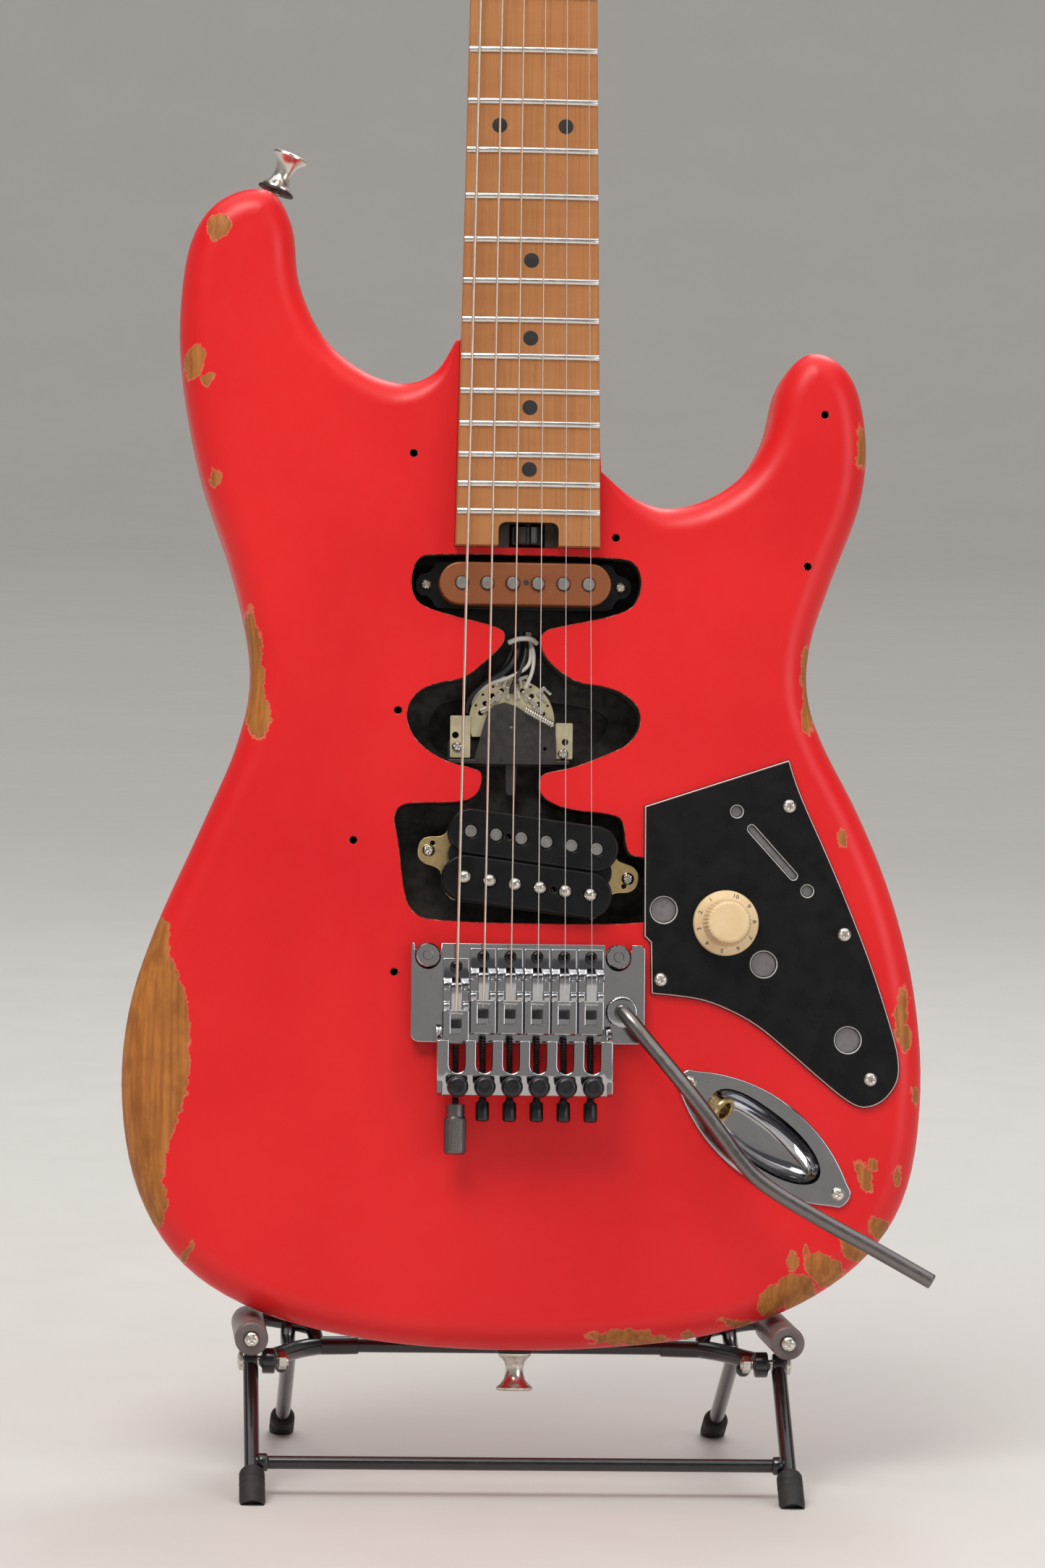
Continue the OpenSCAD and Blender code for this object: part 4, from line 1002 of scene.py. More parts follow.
def neck():
    bm = bmesh.new()
    rings = []
    for k in range(25):
        v = 236 + (652 - 236) * k / 24
        depth = 21 + 1.5 * (SCALE_LEN - v) / (SCALE_LEN - HEEL_END)
        near_head = max(0, (v - 630) / 22)
        depth += 1.2 * math.sin(min(1, near_head) * math.pi)
        rings.append(neck_ring(v, neck_half(v), depth, -BOARD_H))
    loft(bm, rings)
    ob = piece("neck.shaft", bm, "guitar", "roasted_maple", replaces=["neck"])
    shelf = ((-NUT_HALF - 0.15, 640), (NUT_HALF + 0.15, 640), (NUT_HALF + 1.2, 665),
             (-NUT_HALF - 1.2, 665))
    joined = [(loft, [heel_ring(v, neck_half(v)) for v in (HEEL_END, HEEL_END + 0.5, 195, 220, 250)]),
              (prism, [softened(HEAD_POINTS)],
               corner(1.4, 0, HEAD_FRONT, 3) + corner(2, 0, HEAD_BACK, 3, True)),
              (prism, [shelf], [(0.4, -4.99), (0, -4.6), (0, 0), (1.4, 4), (4.2, 8), (8, 11)])]
    cut(ob, [cutter("roasted_maple", *tool) for tool in joined], "UNION")
    holes = [("roasted_maple", prism, [rounded(66, 30, 1, (0, SCALE_LEN + 15.1))], [(0, -20), (0, -4.99)]),
             # The truss-rod notch and its bore are dark brown: painted shade inside the recess round the
             # wheel
             ("dark_mark", prism, [rounded(23.6, 20, 3, (0, 167.6))], [(0, -20), (0, 0)]),
             ("dark_mark", tube, [(0, 2, 160), (0, 2, 177.7)], 7.3, 28)]
    holes += [("roasted_maple", lathe, [(4.55, -6), (4.55, 20)], at_face(nut_u(i), tuner_v(i)), 24)
              for i in range(6)]
    holes += [("roasted_maple", lathe, [(2.3, 4), (2.3, 20)], at_face(u, v), 16) for u, v in NECK_SCREWS]
    cut(ob, [cutter(*hole) for hole in holes])


def frets():
    """Crowned fret wire with bevelled ends."""
    bm = bmesh.new()
    for n in range(1, FRETS + 1):
        v, half = fret_v(n), neck_half(fret_v(n)) - 0.25
        rings = []
        for k in range(-8, 9):
            u = k / 8 * half
            base = board_w(u)
            tall = 1.1 if abs(k) < 8 else 0.55
            ring = []
            for j in range(9):
                a = j / 8 * math.pi
                ring.append(Vector((u, base - tall * math.sin(a) ** 0.8, v + 1.25 * math.cos(a))))
            rings.append(ring)
        loft(bm, rings)
    piece("neck.frets", bm, "guitar", "fret_wire", replaces=["frets"], sharp=50)


def fret_dots():
    """Flat round inlays; the twelfth has a pair."""
    bm = bmesh.new()
    for n in (3, 5, 7, 9, 12, 15, 17, 19, 21):
        v = (fret_v(n) + fret_v(n - 1)) / 2
        for u in ((-13, 13) if n == 12 else (0,)):
            at = at_face(u, v, board_w(u) - 0.04) @ Matrix.Rotation(-math.atan(u / BOARD_R), 4, "Y")
            lathe(bm, [(0, 0), (2.9, 0.01), (3.1, 0.12), (3.1, 1.8), (0, 1.8)], at, 36)
    piece("neck.dots", bm, "guitar", "black_dot", replaces=["fret_markers"])


def truss_wheel():
    """Spoked wheel at the end of the neck that adjusts the truss rod."""
    bm = bmesh.new()
    at = along((0, 2, 169.6), (0, 2, 177))
    rim = [(2.5, 0), (6.4, 0), (6.9, 0.5), (6.9, 6.6), (6.4, 7.1), (2.5, 7.1)]

    def spokes(a, k):
        return -1.3 if math.cos(8 * a) > 0.5 and 1 <= k <= 4 else 0
    lathe(bm, rim, at, 96, closed=True, ridge=spokes)
    tube(bm, [(0, 2, 176), (0, 2, 555)], 2.48)
    piece("neck.truss_wheel", bm, "guitar", "black_steel", replaces=["truss_rod"])


# ---- pickups ----


def neck_pickup():
    u0, v0 = NECK_PICKUP
    poles = [(u0 + (i - 2.5) * POLE_PITCH, v0) for i in range(6)]
    holes = [circle(2.5, p, 24) for p in poles]
    bm = bmesh.new()
    ears = [circle(1.35, (u0 + s * NECK_PICKUP_EAR, v0), 16) for s in (-1, 1)]
    prism(bm, [neck_base_outline()] + ears + holes, slab_rows(7.05, 9.4, 0.4))
    piece("neck_pickup.base", bm, "guitar", "black_plastic", replaces=["neck_pickup_base"])
    bm = bmesh.new()
    rows = corner(0.8, 0, -4.5, 3) + corner(0.4, 0, 7, 2, True)
    prism(bm, [pill(67.3, 8.3, (u0, v0), 14)] + holes, rows)
    piece("neck_pickup.cover", bm, "guitar", "amber_fibre", replaces=["neck_pickup_bobbin"])
    bm = bmesh.new()
    rises = (0.0, 0.35, 0.6, 0.6, 0.2, 0.1)
    for (u, v), rise in zip(poles, rises):
        lathe(bm, [(0, -5.3 - rise), (2.05, -5.3 - rise), (2.4, -5.0 - rise), (2.42, 10.8), (0, 11)],
              at_face(u, v), 28)
    piece("neck_pickup.poles", bm, "guitar", "pole_steel", replaces=["neck_pickup_poles"])
    bm = bmesh.new()
    for s in (-1, 1):
        lathe(bm, [(1.1, -4.62), (1.1, -4.3), (0, -4.3)], at_face(u0 + s * 1.6 - 1.3, v0 + 0.4), 16)
    piece("neck_pickup.eyelets", bm, "guitar", "dark_mark")


def neck_base_outline():
    """Wide middle with a narrow ear at each end."""
    u0, v0 = NECK_PICKUP
    quarter = curve([(0, -9.4), (20, -9.4), (33.4, -9.2), (35.8, -6.6), (37.6, -4.7), (40.2, -4.2),
                     (42.3, -2.0), (42.6, 0)], 4)
    return [Vector((u0, v0)) + p for p in mirrored(quarter)]


def humbucker():
    at = at_face(*HUMBUCKER, 0, HUMBUCKER_TURN)
    us = [(i - 2.5) * POLE_PITCH for i in range(6)]
    bm = bmesh.new()
    for s in (-1, 1):
        holes = [circle(2.45, (u, s * 9), 24) for u in us]
        holes.append(circle(1.0, (us[3] + POLE_PITCH / 2 + (0.4 if s < 0 else -POLE_PITCH * 2), s * 9), 14))
        prism(bm, [pill(66.8, 8.9, (0, s * 9.15), 16)] + holes,
              corner(0.9, 0, -5.5, 4) + [(0, -3.4), (0.9, -3.2), (0.9, 6.2), (0, 6.4), (0, 7.9)], at)
    prism(bm, [pill(64.5, 7.6, (0, 0), 12)], slab_rows(-2.6, 7.6, 0.3), at)
    piece("humbucker.bobbins", bm, "guitar", "black_plastic", replaces=["humbucker_bobbins"])
    bm = bmesh.new()
    slugs = bmesh.new()
    for u in us:
        lathe(slugs, [(0, -5.75), (1.5, -5.75), (1.6, -5.95), (2.1, -5.95), (2.4, -5.6), (2.4, 7.9),
                      (0, 7.95)], at @ Matrix.Translation((u, 9, 0)), 28)
        turn = 0.35 + 0.5 * math.sin(u)
        head(bm, at @ Matrix.Translation((u, -9, -6.0)), 2.4, 1.25, slot_cut(2.4, 0.75, 0.34, turn), 0.35)
        lathe(bm, [(1.9, -5.9), (1.9, 15), (0, 15)], at @ Matrix.Translation((u, -9, 0)), 16)
    piece("humbucker.poles", bm, "guitar", "nickel", replaces=["humbucker_poles"])
    piece("humbucker.slugs", slugs, "guitar", "pole_steel")
    bm = bmesh.new()
    base = humbucker_base_outline()
    holes = [circle(1.4, (s * HUMBUCKER_EAR, 0), 16) for s in (-1, 1)]
    holes += [circle(1.0, (s * (HUMBUCKER_EAR - 1.2), s * -3.1), 12) for s in (-1, 1)]
    holes += [circle(2.1, (u, -9), 16) for u in us]
    prism(bm, [base] + holes, slab_rows(8.05, 9.5, 0.25), at)
    piece("humbucker.baseplate", bm, "guitar", "brass", replaces=["humbucker_baseplate"])


def humbucker_base_outline():
    """Rectangle with a rounded ear at each end."""
    quarter = curve([(0, -18), (24, -18), (29, -17), (32.6, -13), (33.6, -8), (35.8, -6.2), (40.5, -5.2),
                     (43.2, -3), (43.8, 0)], 3)
    return mirrored(quarter)


# ---- selector switch ----


def switch():
    """Lever switch: cream wafer with lugs behind a folded steel frame."""
    u0, v0 = WAFER
    bm = bmesh.new()
    arc = [Vector((u0 + 16.8 * math.cos(a), v0 + 16.8 * math.sin(a)))
           for a in [math.radians(-22 + 5.6 * k) for k in range(41)]]
    holes = []
    for k in range(9):
        a = math.radians(14 + 19 * k)
        holes.append(circle(1.0, (u0 + 12.6 * math.cos(a), v0 + 12.6 * math.sin(a)), 12))
    for k in range(8):
        a = math.radians(24 + 19 * k)
        holes.append(circle(0.5, (u0 + 15.4 * math.cos(a), v0 + 15.4 * math.sin(a)), 10))
    prism(bm, [arc] + holes, slab_rows(9.6, 11.2, 0.2))
    piece("switch.wafer", bm, "guitar", "cream_fibre", replaces=["switch_wafer"])
    bm = bmesh.new()
    for k in range(8):
        a = math.radians(23.5 + 19 * k)
        spot = Vector((u0 + 11.2 * math.cos(a), v0 + 11.2 * math.sin(a)))
        at = at_face(*spot, 0, a)
        prism(bm, [rounded(4.6, 1.6, 0.4)], slab_rows(8.8, 9.55, 0.15), at)
        lathe(bm, [(0, 8.2), (0.7, 8.25), (0.9, 8.8), (0, 8.85)], at @ Matrix.Translation((-1.2, 0, 0)), 12)
    for degrees in (105, 74, 42):
        a = math.radians(degrees)
        at = at_face(u0 + 16.6 * math.cos(a), v0 + 16.6 * math.sin(a), 0, a)
        prism(bm, [rounded(1.4, 4.4, 0.3, (-1.2, 0))], slab_rows(8.7, 9.5, 0.15), at)
        for s in (-1, 1):
            prism(bm, [rounded(3.4, 1.1, 0.3, (0.8, s * 1.6))], slab_rows(8.7, 9.5, 0.15), at)
    piece("switch.lugs", bm, "guitar", "nickel")
    bm = bmesh.new()
    prism(bm, [circle(5, SWITCH, 28), circle(2.45, SWITCH, 24)], slab_rows(11.85, 13.35, 0.25))
    u, v = SWITCH
    arm = ((u - 2.4, v - 4), (u - 2.0, v - 24), (u - 1.2, v - 25.6), (u + 1.0, v - 25.6),
           (u + 2.0, v - 24), (u + 2.5, v - 4))
    prism(bm, [arm], slab_rows(11.9, 13.3, 0.25))
    piece("switch.lever", bm, "switch", "black_steel", replaces=["switch_lever"])
    frame_piece()
    switch_spring()


# Front plate of the switch's frame
FRAME_POINTS = ((-19.6, 85), (-15.7, 99.2), (-14.2, 104.2), (-11.6, 107.2), (-7.4, 108.3),
                (-3, 106.8), (4.6, 102), (12.2, 98.8), (12.8, 93.8), (13.1, 85))


def frame_piece():
    """Folded steel frame of the switch, and the plates at its ends."""
    bm = bmesh.new()
    prism(bm, [FRAME_POINTS, circle(1.2, SWITCH, 16), circle(0.7, (8.4, 90.2), 12)],
          slab_rows(7.9, 8.5, 0.2))
    lathe(bm, [(0, 7.3), (1.0, 7.35), (1.5, 7.7), (1.5, 8.4), (1.15, 8.45), (1.15, 14.2), (0, 14.3)],
          at_face(*SWITCH), 24)
    prism(bm, [rounded(47.4, 1.8, 0.3, (-5.7, 84.8))], slab_rows(7.9, 14.4, 0.3))
    prism(bm, [rounded(47.4, 10, 1.2, (-5.7, 88.6))] + [circle(1.45, p, 16) for p in SWITCH_SCREWS],
          slab_rows(14.4, 15.4, 0.2))
    piece("switch.frame", bm, "guitar", "black_steel", replaces=["switch_frame"])
    bm = bmesh.new()
    for at, size, hole in (((-24.8, 94.6), (8, 16.6), (-26.7, 95.2)),
                           ((16, 93.4), (6.8, 14.2), (16.4, 93))):
        prism(bm, [rounded(*size, 0.6, at), circle(1.3, hole, 16)], slab_rows(8.7, 9.5, 0.2))
        prism(bm, [rounded(size[0] - 0.4, 1.6, 0.4, (at[0], at[1] - size[1] / 2 + 1))],
              slab_rows(9.4, 14.4, 0.2))
    piece("switch.end_plates", bm, "guitar", "cream_fibre")


def switch_spring():
    bm = bmesh.new()
    a, b = Vector((0.4, 6.2, 105.4)), Vector((11.4, 6.2, 99.4))
    way = (b - a).normalized()
    side = way.orthogonal().normalized()
    up = way.cross(side)
    turns, n = 13, 13 * 14
    pts = [a + (b - a) * (k / n) + (side * math.cos(math.tau * turns * k / n)
                                    + up * math.sin(math.tau * turns * k / n)) * 1.5 for k in range(n + 1)]
    tube(bm, pts, 0.27, 6)
    piece("switch.spring", bm, "guitar", "string_steel", replaces=["switch_spring"], sharp=80)


def wires():
    bm = bmesh.new()
    main = curve([(-1.5, 13, 136), (-2.5, 10.5, 128), (-7, 9, 121), (-15, 10, 116), (-21, 12, 110),
                  (-22, 12.6, 104)], 8)
    tube(bm, main, 1.3, 12)
    other = curve([(-3.4, 14, 135.5), (-5.4, 11.5, 127), (-9.6, 10.4, 120), (-16.5, 12, 112.5),
                   (-19.5, 12.4, 104.5)], 8)
    tube(bm, other, 0.9, 10)
    third = curve([(0.4, 13, 136), (0.6, 9.0, 128), (-1.5, 7.0, 121), (-4.4, 7.0, 115),
                   (-5.0, 8.3, 112)], 8)
    tube(bm, third, 0.9, 10)
    piece("wiring.black", bm, "guitar", "wire_cover", replaces=["wiring"], sharp=80)
    bm = bmesh.new()
    pale = curve([(2.2, 13, 136), (2.6, 9.5, 129), (1.2, 7.2, 122.5), (-6, 7.6, 118), (-14.5, 9.6, 115),
                  (-19.4, 11.6, 109), (-19, 12.2, 103)], 8)
    tube(bm, pale, 0.75, 10)
    more = curve([(1.2, 12.4, 136), (3.6, 8.8, 128.5), (3.2, 6.9, 121), (0.6, 7.2, 114)], 8)
    tube(bm, more, 0.75, 10)
    loop = curve([(-6.2, 8.2, 131.8), (-2.4, 6.9, 133.2), (2.2, 6.9, 133.2), (5.0, 8.2, 131.6)], 6)
    tube(bm, loop, 1.0, 10)
    piece("wiring.pale", bm, "guitar", "white_wire", sharp=80)


# ---- controls ----


def control_plate():
    screws = [circle(1.35, p, 16) for p in PLATE_SCREWS]
    holes = [circle(4.75, p, 36) for p in POT_HOLES] + [circle(2, p, 24) for p in LEVER_HOLES]
    holes.append(circle(4.8, KNOB, 36))
    a, b = (Vector(p) for p in LEVER_SLOT)
    turn = math.atan2((b - a).y, (b - a).x)
    holes.append(pill((b - a).length + 1.6, 1.15, tuple((a + b) / 2), 8, turn))
    outline = plate_outline()
    bm = bmesh.new()
    prism(bm, [outline] + holes + screws, [(1.05, -2.3), (0.72, -1.62), (0.72, -1.6)])
    piece("control_plate.top", bm, "guitar", "black_plastic", replaces=["control_plate"])
    bm = bmesh.new()
    prism(bm, [outline] + holes + screws, [(0.72, -1.59), (0.3, -0.95), (0.3, -0.93)])
    piece("control_plate.middle", bm, "guitar", "white_ply")
    bm = bmesh.new()
    prism(bm, [outline] + holes + screws, [(0.3, -0.92), (0, -0.55), (0, -0.05)])
    piece("control_plate.under", bm, "guitar", "black_plastic")
    foil()


def foil():
    """Shielding foil stuck under the plate; it shows through the unused holes."""
    bm = bmesh.new()
    outline = [p.copy() for p in plate_outline()]
    if area(outline) < 0:
        outline.reverse()
    inner = [p + n * 1.6 for p, n in zip(outline, sideways(outline))]
    prism(bm, [inner, circle(4.8, KNOB, 36)], [(0, -0.045), (0, 0.02)])
    piece("control_plate.foil", bm, "guitar", "foil")


def plate_outline():
    """Sharp corners at the top, curved along the bottom."""
    fixed = [Vector(p) for p in PLATE_POINTS]
    right = curve([PLATE_POINTS[1]] + list(PLATE_POINTS[2:17]), 4)
    return [fixed[0]] + right + [fixed[17], fixed[18]]


def knob():
    """Cream tone knob with a ribbed grip and numbers on its skirt."""
    at = at_face(*KNOB)
    profile = [(0, -18.6), (6.6, -18.6), (7.5, -18.45), (8.15, -17.9), (8.35, -17.0), (8.75, -13.5),
               (9.25, -9.9), (9.6, -9.2), (12.2, -7.35), (12.6, -6.9), (12.8, -6.3), (12.8, -4.2),
               (12.5, -3.85), (0, -3.8)]

    def ribs(a, k):
        return 0.16 * math.cos(36 * a) if 3 <= k <= 6 else 0
    bm = bmesh.new()
    lathe(bm, profile, at, 288, ridge=ribs)
    piece("knob.cap", bm, "knob", "cream_plastic", replaces=["tone_knob"], sharp=50)
    marks()


def marks():
    """Numbers one to ten round the skirt, each a thin raised print."""
    bm = bmesh.new()
    slope = Matrix.Rotation(math.radians(35.4), 4, "X")
    for n in range(1, 11):
        text = bpy.data.curves.new("number", "FONT")
        text.body = str(n)
        text.size = 2.7
        text.align_x = "CENTER"
        text.align_y = "CENTER"
        text.extrude = 0.05
        ob = bpy.data.objects.new("number", text)
        bpy.context.scene.collection.objects.link(ob)
        bpy.context.view_layer.update()
        mesh = bpy.data.meshes.new_from_object(ob.evaluated_get(bpy.context.evaluated_depsgraph_get()))
        bpy.data.objects.remove(ob)
        turn = Matrix.Rotation(math.radians(125 + 34 * (n - 1) - 90), 4, "Z")
        mesh.transform(at_face(*KNOB) @ turn @ Matrix.Translation((0, 10.9, -8.31)) @ slope)
        bm.from_mesh(mesh)
        bpy.data.meshes.remove(mesh)
    piece("knob.numbers", bm, "knob", "dark_mark")


def jack():
    """Scooped plate with its round-bottomed cup."""
    at = JACK @ FACE
    n = 48
    bm = bmesh.new()
    lens = []
    for s in (1, -1):
        for k in range(21):
            a = math.radians(-33.0 + 66.0 * k / 20)
            lens.append(Vector((67 * math.sin(a) * s, s * (-50.5 + 67 * math.cos(a)))))
        for k in range(1, 8):
            a = math.radians(33 + (147 - 33) * k / 8) - math.pi / 2
            lens.append(Vector((s * (JACK_SCREW_X + 5.0 * math.cos(a)), -s * 5.9 * math.sin(a))))
    mouth = []
    for k in range(n):
        a = k / n * math.tau
        full = 0.72 if math.cos(a) < 0 else 1.0
        mouth.append(Vector((26.5 * math.copysign(abs(math.cos(a)) ** full, math.cos(a)),
                             10.6 * math.copysign(abs(math.sin(a)) ** full, math.sin(a)))))
    holes = [circle(1.35, (s * JACK_SCREW_X, 0), 16) for s in (-1, 1)]
    scoop(bm, at, lens, mouth, holes)
    piece("jack.plate", bm, "guitar", "chrome", replaces=["jack_plate"], sharp=60)
    bm = bmesh.new()
    jack_at = JACK @ along((-19.5, 6.5, 0), (-19.5 + math.cos(math.radians(35)),
                                            6.5 - math.sin(math.radians(35)), 0))
    lathe(bm, [(3.3, -16), (4.15, -16), (4.15, 0.2), (5.5, 0.3), (5.6, 0.8), (5.2, 1.7), (3.6, 1.7),
               (3.3, 1.3)], jack_at, 36, closed=True)
    piece("jack.socket", bm, "guitar", "brass", replaces=["jack_socket"])


def scoop(bm, at, lens, mouth, holes):
    """Lens-shaped plate whose mouth sinks into a smooth cup."""
    front, back = -1.5, -0.06
    cup_depth, steps, wall = 14.6, 9, 1.035

    def cup_ring(q, rim, gap, grow=1.0):
        """Ring of the cup at share q of the way in; rim is the depth of its first ring."""
        shrink = math.cos(q * math.pi / 2 * 0.94) ** 0.55
        drift = -8 * q * (1 - shrink) * 1.6
        depth = front + gap + cup_depth * math.sin(q * math.pi / 2) ** 0.9 if q else rim
        return [bm.verts.new(at @ Vector((p.x * shrink * grow + drift, p.y * shrink * grow, depth)))
                for p in mouth]

    def ring(loop, side, inset, depth):
        return [bm.verts.new(at @ Vector((p.x + m.x * inset, p.y + m.y * inset, depth)))
                for p, m in zip(loop, side)]
    cup = [cup_ring(k / steps, front, 0.35) for k in range(steps + 1)]
    skin(bm, cup, ends=False)
    bm.faces.new(cup[-1])
    edge = lens if area(lens) > 0 else lens[::-1]
    side = sideways(edge)
    bevel = 0.7
    outer = [ring(edge, side, inset, depth) for inset, depth in
             ((bevel, front), (0.2, front + 0.25), (0, front + 0.7), (0, back))]
    skin(bm, outer, ends=False)
    bores = [[ring(hole, hole, 0, depth) for depth in (front, back)] for hole in holes]
    for bore in bores:
        skin(bm, bore, ends=False)
    flat = [p + m * bevel for p, m in zip(edge, side)]
    fill(bm, (flat, mouth, *holes), outer[0] + cup[0] + [v for bore in bores for v in bore[0]])
    under = [cup_ring(k / steps, back, 1.5, wall) for k in range(steps + 1)]
    skin(bm, under, ends=False)
    bm.faces.new(under[-1])
    fill(bm, (edge, [p * wall for p in mouth], *holes),
         outer[-1] + under[0] + [v for bore in bores for v in bore[1]])


def pot_parts():
    bm = bmesh.new()
    at = at_face(*KNOB)
    lathe(bm, [(3.1, -6), (4.4, -6), (4.65, -5.7), (4.65, 5.2), (11.2, 5.2), (11.9, 6), (11.9, 15.4),
               (11.2, 16), (0, 16), (0, 12.2), (3.1, 12.1)], at, 48)
    prism(bm, [circle(7, n=6), circle(4.75, n=24)], slab_rows(-4.6, -2.35, 0.3), at)
    piece("tone_pot.case", bm, "guitar", "nickel", replaces=["potentiometer"])


# ---- screws and small hardware ----


def screws():
    bm = bmesh.new()
    places = [(at_face(u, v, -2.45, 0.4 + u), 2.7) for u, v in PLATE_SCREWS]
    places += [(JACK @ Matrix.Translation((s * JACK_SCREW_X, -1.65, 0)) @ Matrix.Rotation(s * 0.5, 4, "Y")
                @ FACE, 2.6) for s in (-1, 1)]
    places += [(at_face(NECK_PICKUP[0] + s * NECK_PICKUP_EAR, NECK_PICKUP[1], 6.75, s), 2.3)
               for s in (-1, 1)]
    ear_u, ear_v = HUMBUCKER_EAR * math.cos(HUMBUCKER_TURN), HUMBUCKER_EAR * math.sin(HUMBUCKER_TURN)
    places += [(at_face(HUMBUCKER[0] + s * ear_u, HUMBUCKER[1] - s * ear_v, 7.75, s * 2), 2.5)
               for s in (-1, 1)]
    places += [(at_face(u, v, 8.6, u), 2.2) for u, v in SWITCH_SCREWS]
    for at, r in places:
        head(bm, at, r, 1.35, cross_cut(r), 0.12)
        thread(bm, at, 1.15, 0.13, 11)
    for u, v in NECK_SCREWS:
        at = Matrix.Translation((u, BODY_T + 2.1, v)) @ Matrix.Rotation(u + v, 4, "Y") @ BACK_FACE
        head(bm, at, 4.4, 1.6, cross_cut(4.4, 1.3, 0.6), 0.1, 12, 48)
        thread(bm, at, 2.1, 0.1, 34)
    for u, v in COVER_SCREWS:
        at = Matrix.Translation((u, BODY_T + 1.7, v)) @ Matrix.Rotation(u * v, 4, "Y") @ BACK_FACE
        head(bm, at, 2.6, 1.2, cross_cut(2.6), 0.1)
        thread(bm, at, 1.1, 0.1, 11)
    piece("screws", bm, "guitar", "nickel", replaces=["wood_screws"], sharp=50, weighted=False)


def thread(bm, at, r, start, length):
    """Shank with a coarse thread."""
    rows = [(0, start), (r * 0.8, start)]
    z = start + 1
    while z < length - 1.2:
        rows += [(r * 0.75, z), (r, z + 0.35), (r * 0.75, z + 0.7)]
        z += 1.1
    rows += [(r * 0.7, length - 1), (0, length + 0.8)]
    lathe(bm, rows, at, 12)


def strap_buttons():
    bm = bmesh.new()
    profile = [(0, 1), (6.3, 1), (6.6, 1.35), (6.5, 2.1), (5.0, 3.4), (3.9, 4.8), (3.55, 6.6), (3.6, 9),
               (4.2, 11.4), (5.6, 13.3), (6.8, 14.1), (7.2, 14.7), (7.1, 15.4), (6.4, 15.8), (3.4, 15.75)]
    washer = [(2.2, 0.05), (7.2, 0.05), (7.4, 0.3), (7.3, 0.9), (2.2, 0.9)]
    spots = ((0, 22, -145.2, math.pi), (-100.5, 22, 308, math.radians(22)))
    felt = bmesh.new()
    for k, (u, w, v, turn) in enumerate(spots):
        at = Matrix.Translation((u, w, v)) @ Matrix.Rotation(turn, 4, "Y")
        if k:
            at = at @ Matrix.Translation((0, 0, 2.2))
        lathe(bm, profile + [(0, 15.75)], at, 40)
        head(bm, at @ Matrix.Translation((0, 0, 15.7)) @ TURNED, 3.3, 0.08,
             cross_cut(3.3, 0.8, 0.5), 0.1)
        thread(bm, at @ TURNED, 2.0, -1, 21)
        lathe(felt, washer, at, 40, closed=True)
    piece("strap_buttons.metal", bm, "guitar", "nickel", replaces=["strap_buttons"])
    piece("strap_buttons.washers", felt, "guitar", "black_dot")


# ---- tremolo ----


def tremolo_posts():
    bm = bmesh.new()
    profile = [(4.2, -7.6), (4.65, -7.1), (4.65, -5.7), (2.9, -5.0), (2.9, -0.7), (5, -0.2), (5, 21.4),
               (0, 21.4)]
    for s in (-1, 1):
        at = at_face(s * POST[0], POST[1])
        lathe(bm, [(0, -5.7), (1.75, -5.72), (1.8, -7.3), (2.1, -7.6)] + profile, at, 36)
    piece("tremolo.posts", bm, "guitar", "chrome", replaces=["tremolo_posts"])


# Height of the ridge across the fine-tuner bar, below which its face slopes back
BAR_RIDGE = -38.6


def tremolo_plate():
    """Base plate with its two knife edges, the fine-tuner bar and its cheeks."""
    bm = bmesh.new()
    prism(bm, [base_outline(), circle(3.6, ARM, 28)], corner(0.4, 0, -5, 3) + corner(0.3, 0, -2.2, 2, True))
    piece("tremolo.plate", bm, "tremolo", "chrome", replaces=["tremolo_plate"])
    bm = bmesh.new()
    taps = [circle(1.78, (string_u(i), -42.8), 16) for i in range(6)]
    prism(bm, [comb_outline()] + taps, corner(0.7, 0, -22, 4) + corner(0.5, 0, -16, 2, True))
    bmesh.ops.bisect_plane(bm, geom=bm.verts[:] + bm.edges[:] + bm.faces[:], plane_co=(0, 0, BAR_RIDGE),
                           plane_no=(0, 0, 1))
    for vert in bm.verts:
        if vert.co.z < BAR_RIDGE and vert.co.y < -18:
            vert.co.y += (BAR_RIDGE - vert.co.z) * 0.42
    for s in (-1, 1):
        side = [(-3.2, -25), (-4.5, -18.6), (-8.5, -18.6), (-15, -20.6), (-21, -26.4), (-21.2, -45),
                (-20, -46), (-16, -46), (-8, -38), (-3.2, -34)]
        at = Matrix(((0, 0, 1, s * 33), (1, 0, 0, 0), (0, 1, 0, 0), (0, 0, 0, 1)))
        prism(bm, [side], slab_rows(-1.1, 1.1, 0.35), at)
    piece("tremolo.bar", bm, "tremolo", "chrome")


def base_outline():
    """Wide plate notched round both posts."""
    def notch(s):
        u, v = s * POST[0], POST[1]
        arc = [math.radians(180 + 15 * k) for k in range(13)]
        return [(u + 4.75 * math.cos(a), v - 0.4 + 4.9 * math.sin(a)) for a in arc]
    top = 13.2
    loop = [(-43.7, top - 0.7), (-43.0, top), (-42.4, top)] + notch(-1) + [(-31.9, top)]
    loop += [(31.9, top)] + notch(1) + [(42.4, top), (46, top), (47.7, top - 1.7)]
    loop += [(47.7, -22.5), (46.8, -24.6), (44.7, -25.5), (-40.7, -25.5), (-42.8, -24.6), (-43.7, -22.5)]
    return loop


def comb_outline():
    """Fine-tuner bar with a round-ended groove for each string."""
    right, left = 34.2, -34.2
    top, bottom = -24.8, -46.2
    loop = [(left, bottom), (right, bottom), (right, top)]
    for i in reversed(range(6)):
        u = string_u(i)
        loop.append((u + 3.1, top))
        for k in range(13):
            a = -math.pi * k / 12
            loop.append((u + 3.1 * math.cos(a), -34.4 + 3.1 * math.sin(a)))
        loop.append((u - 3.1, top))
    return loop + [(left, top)]


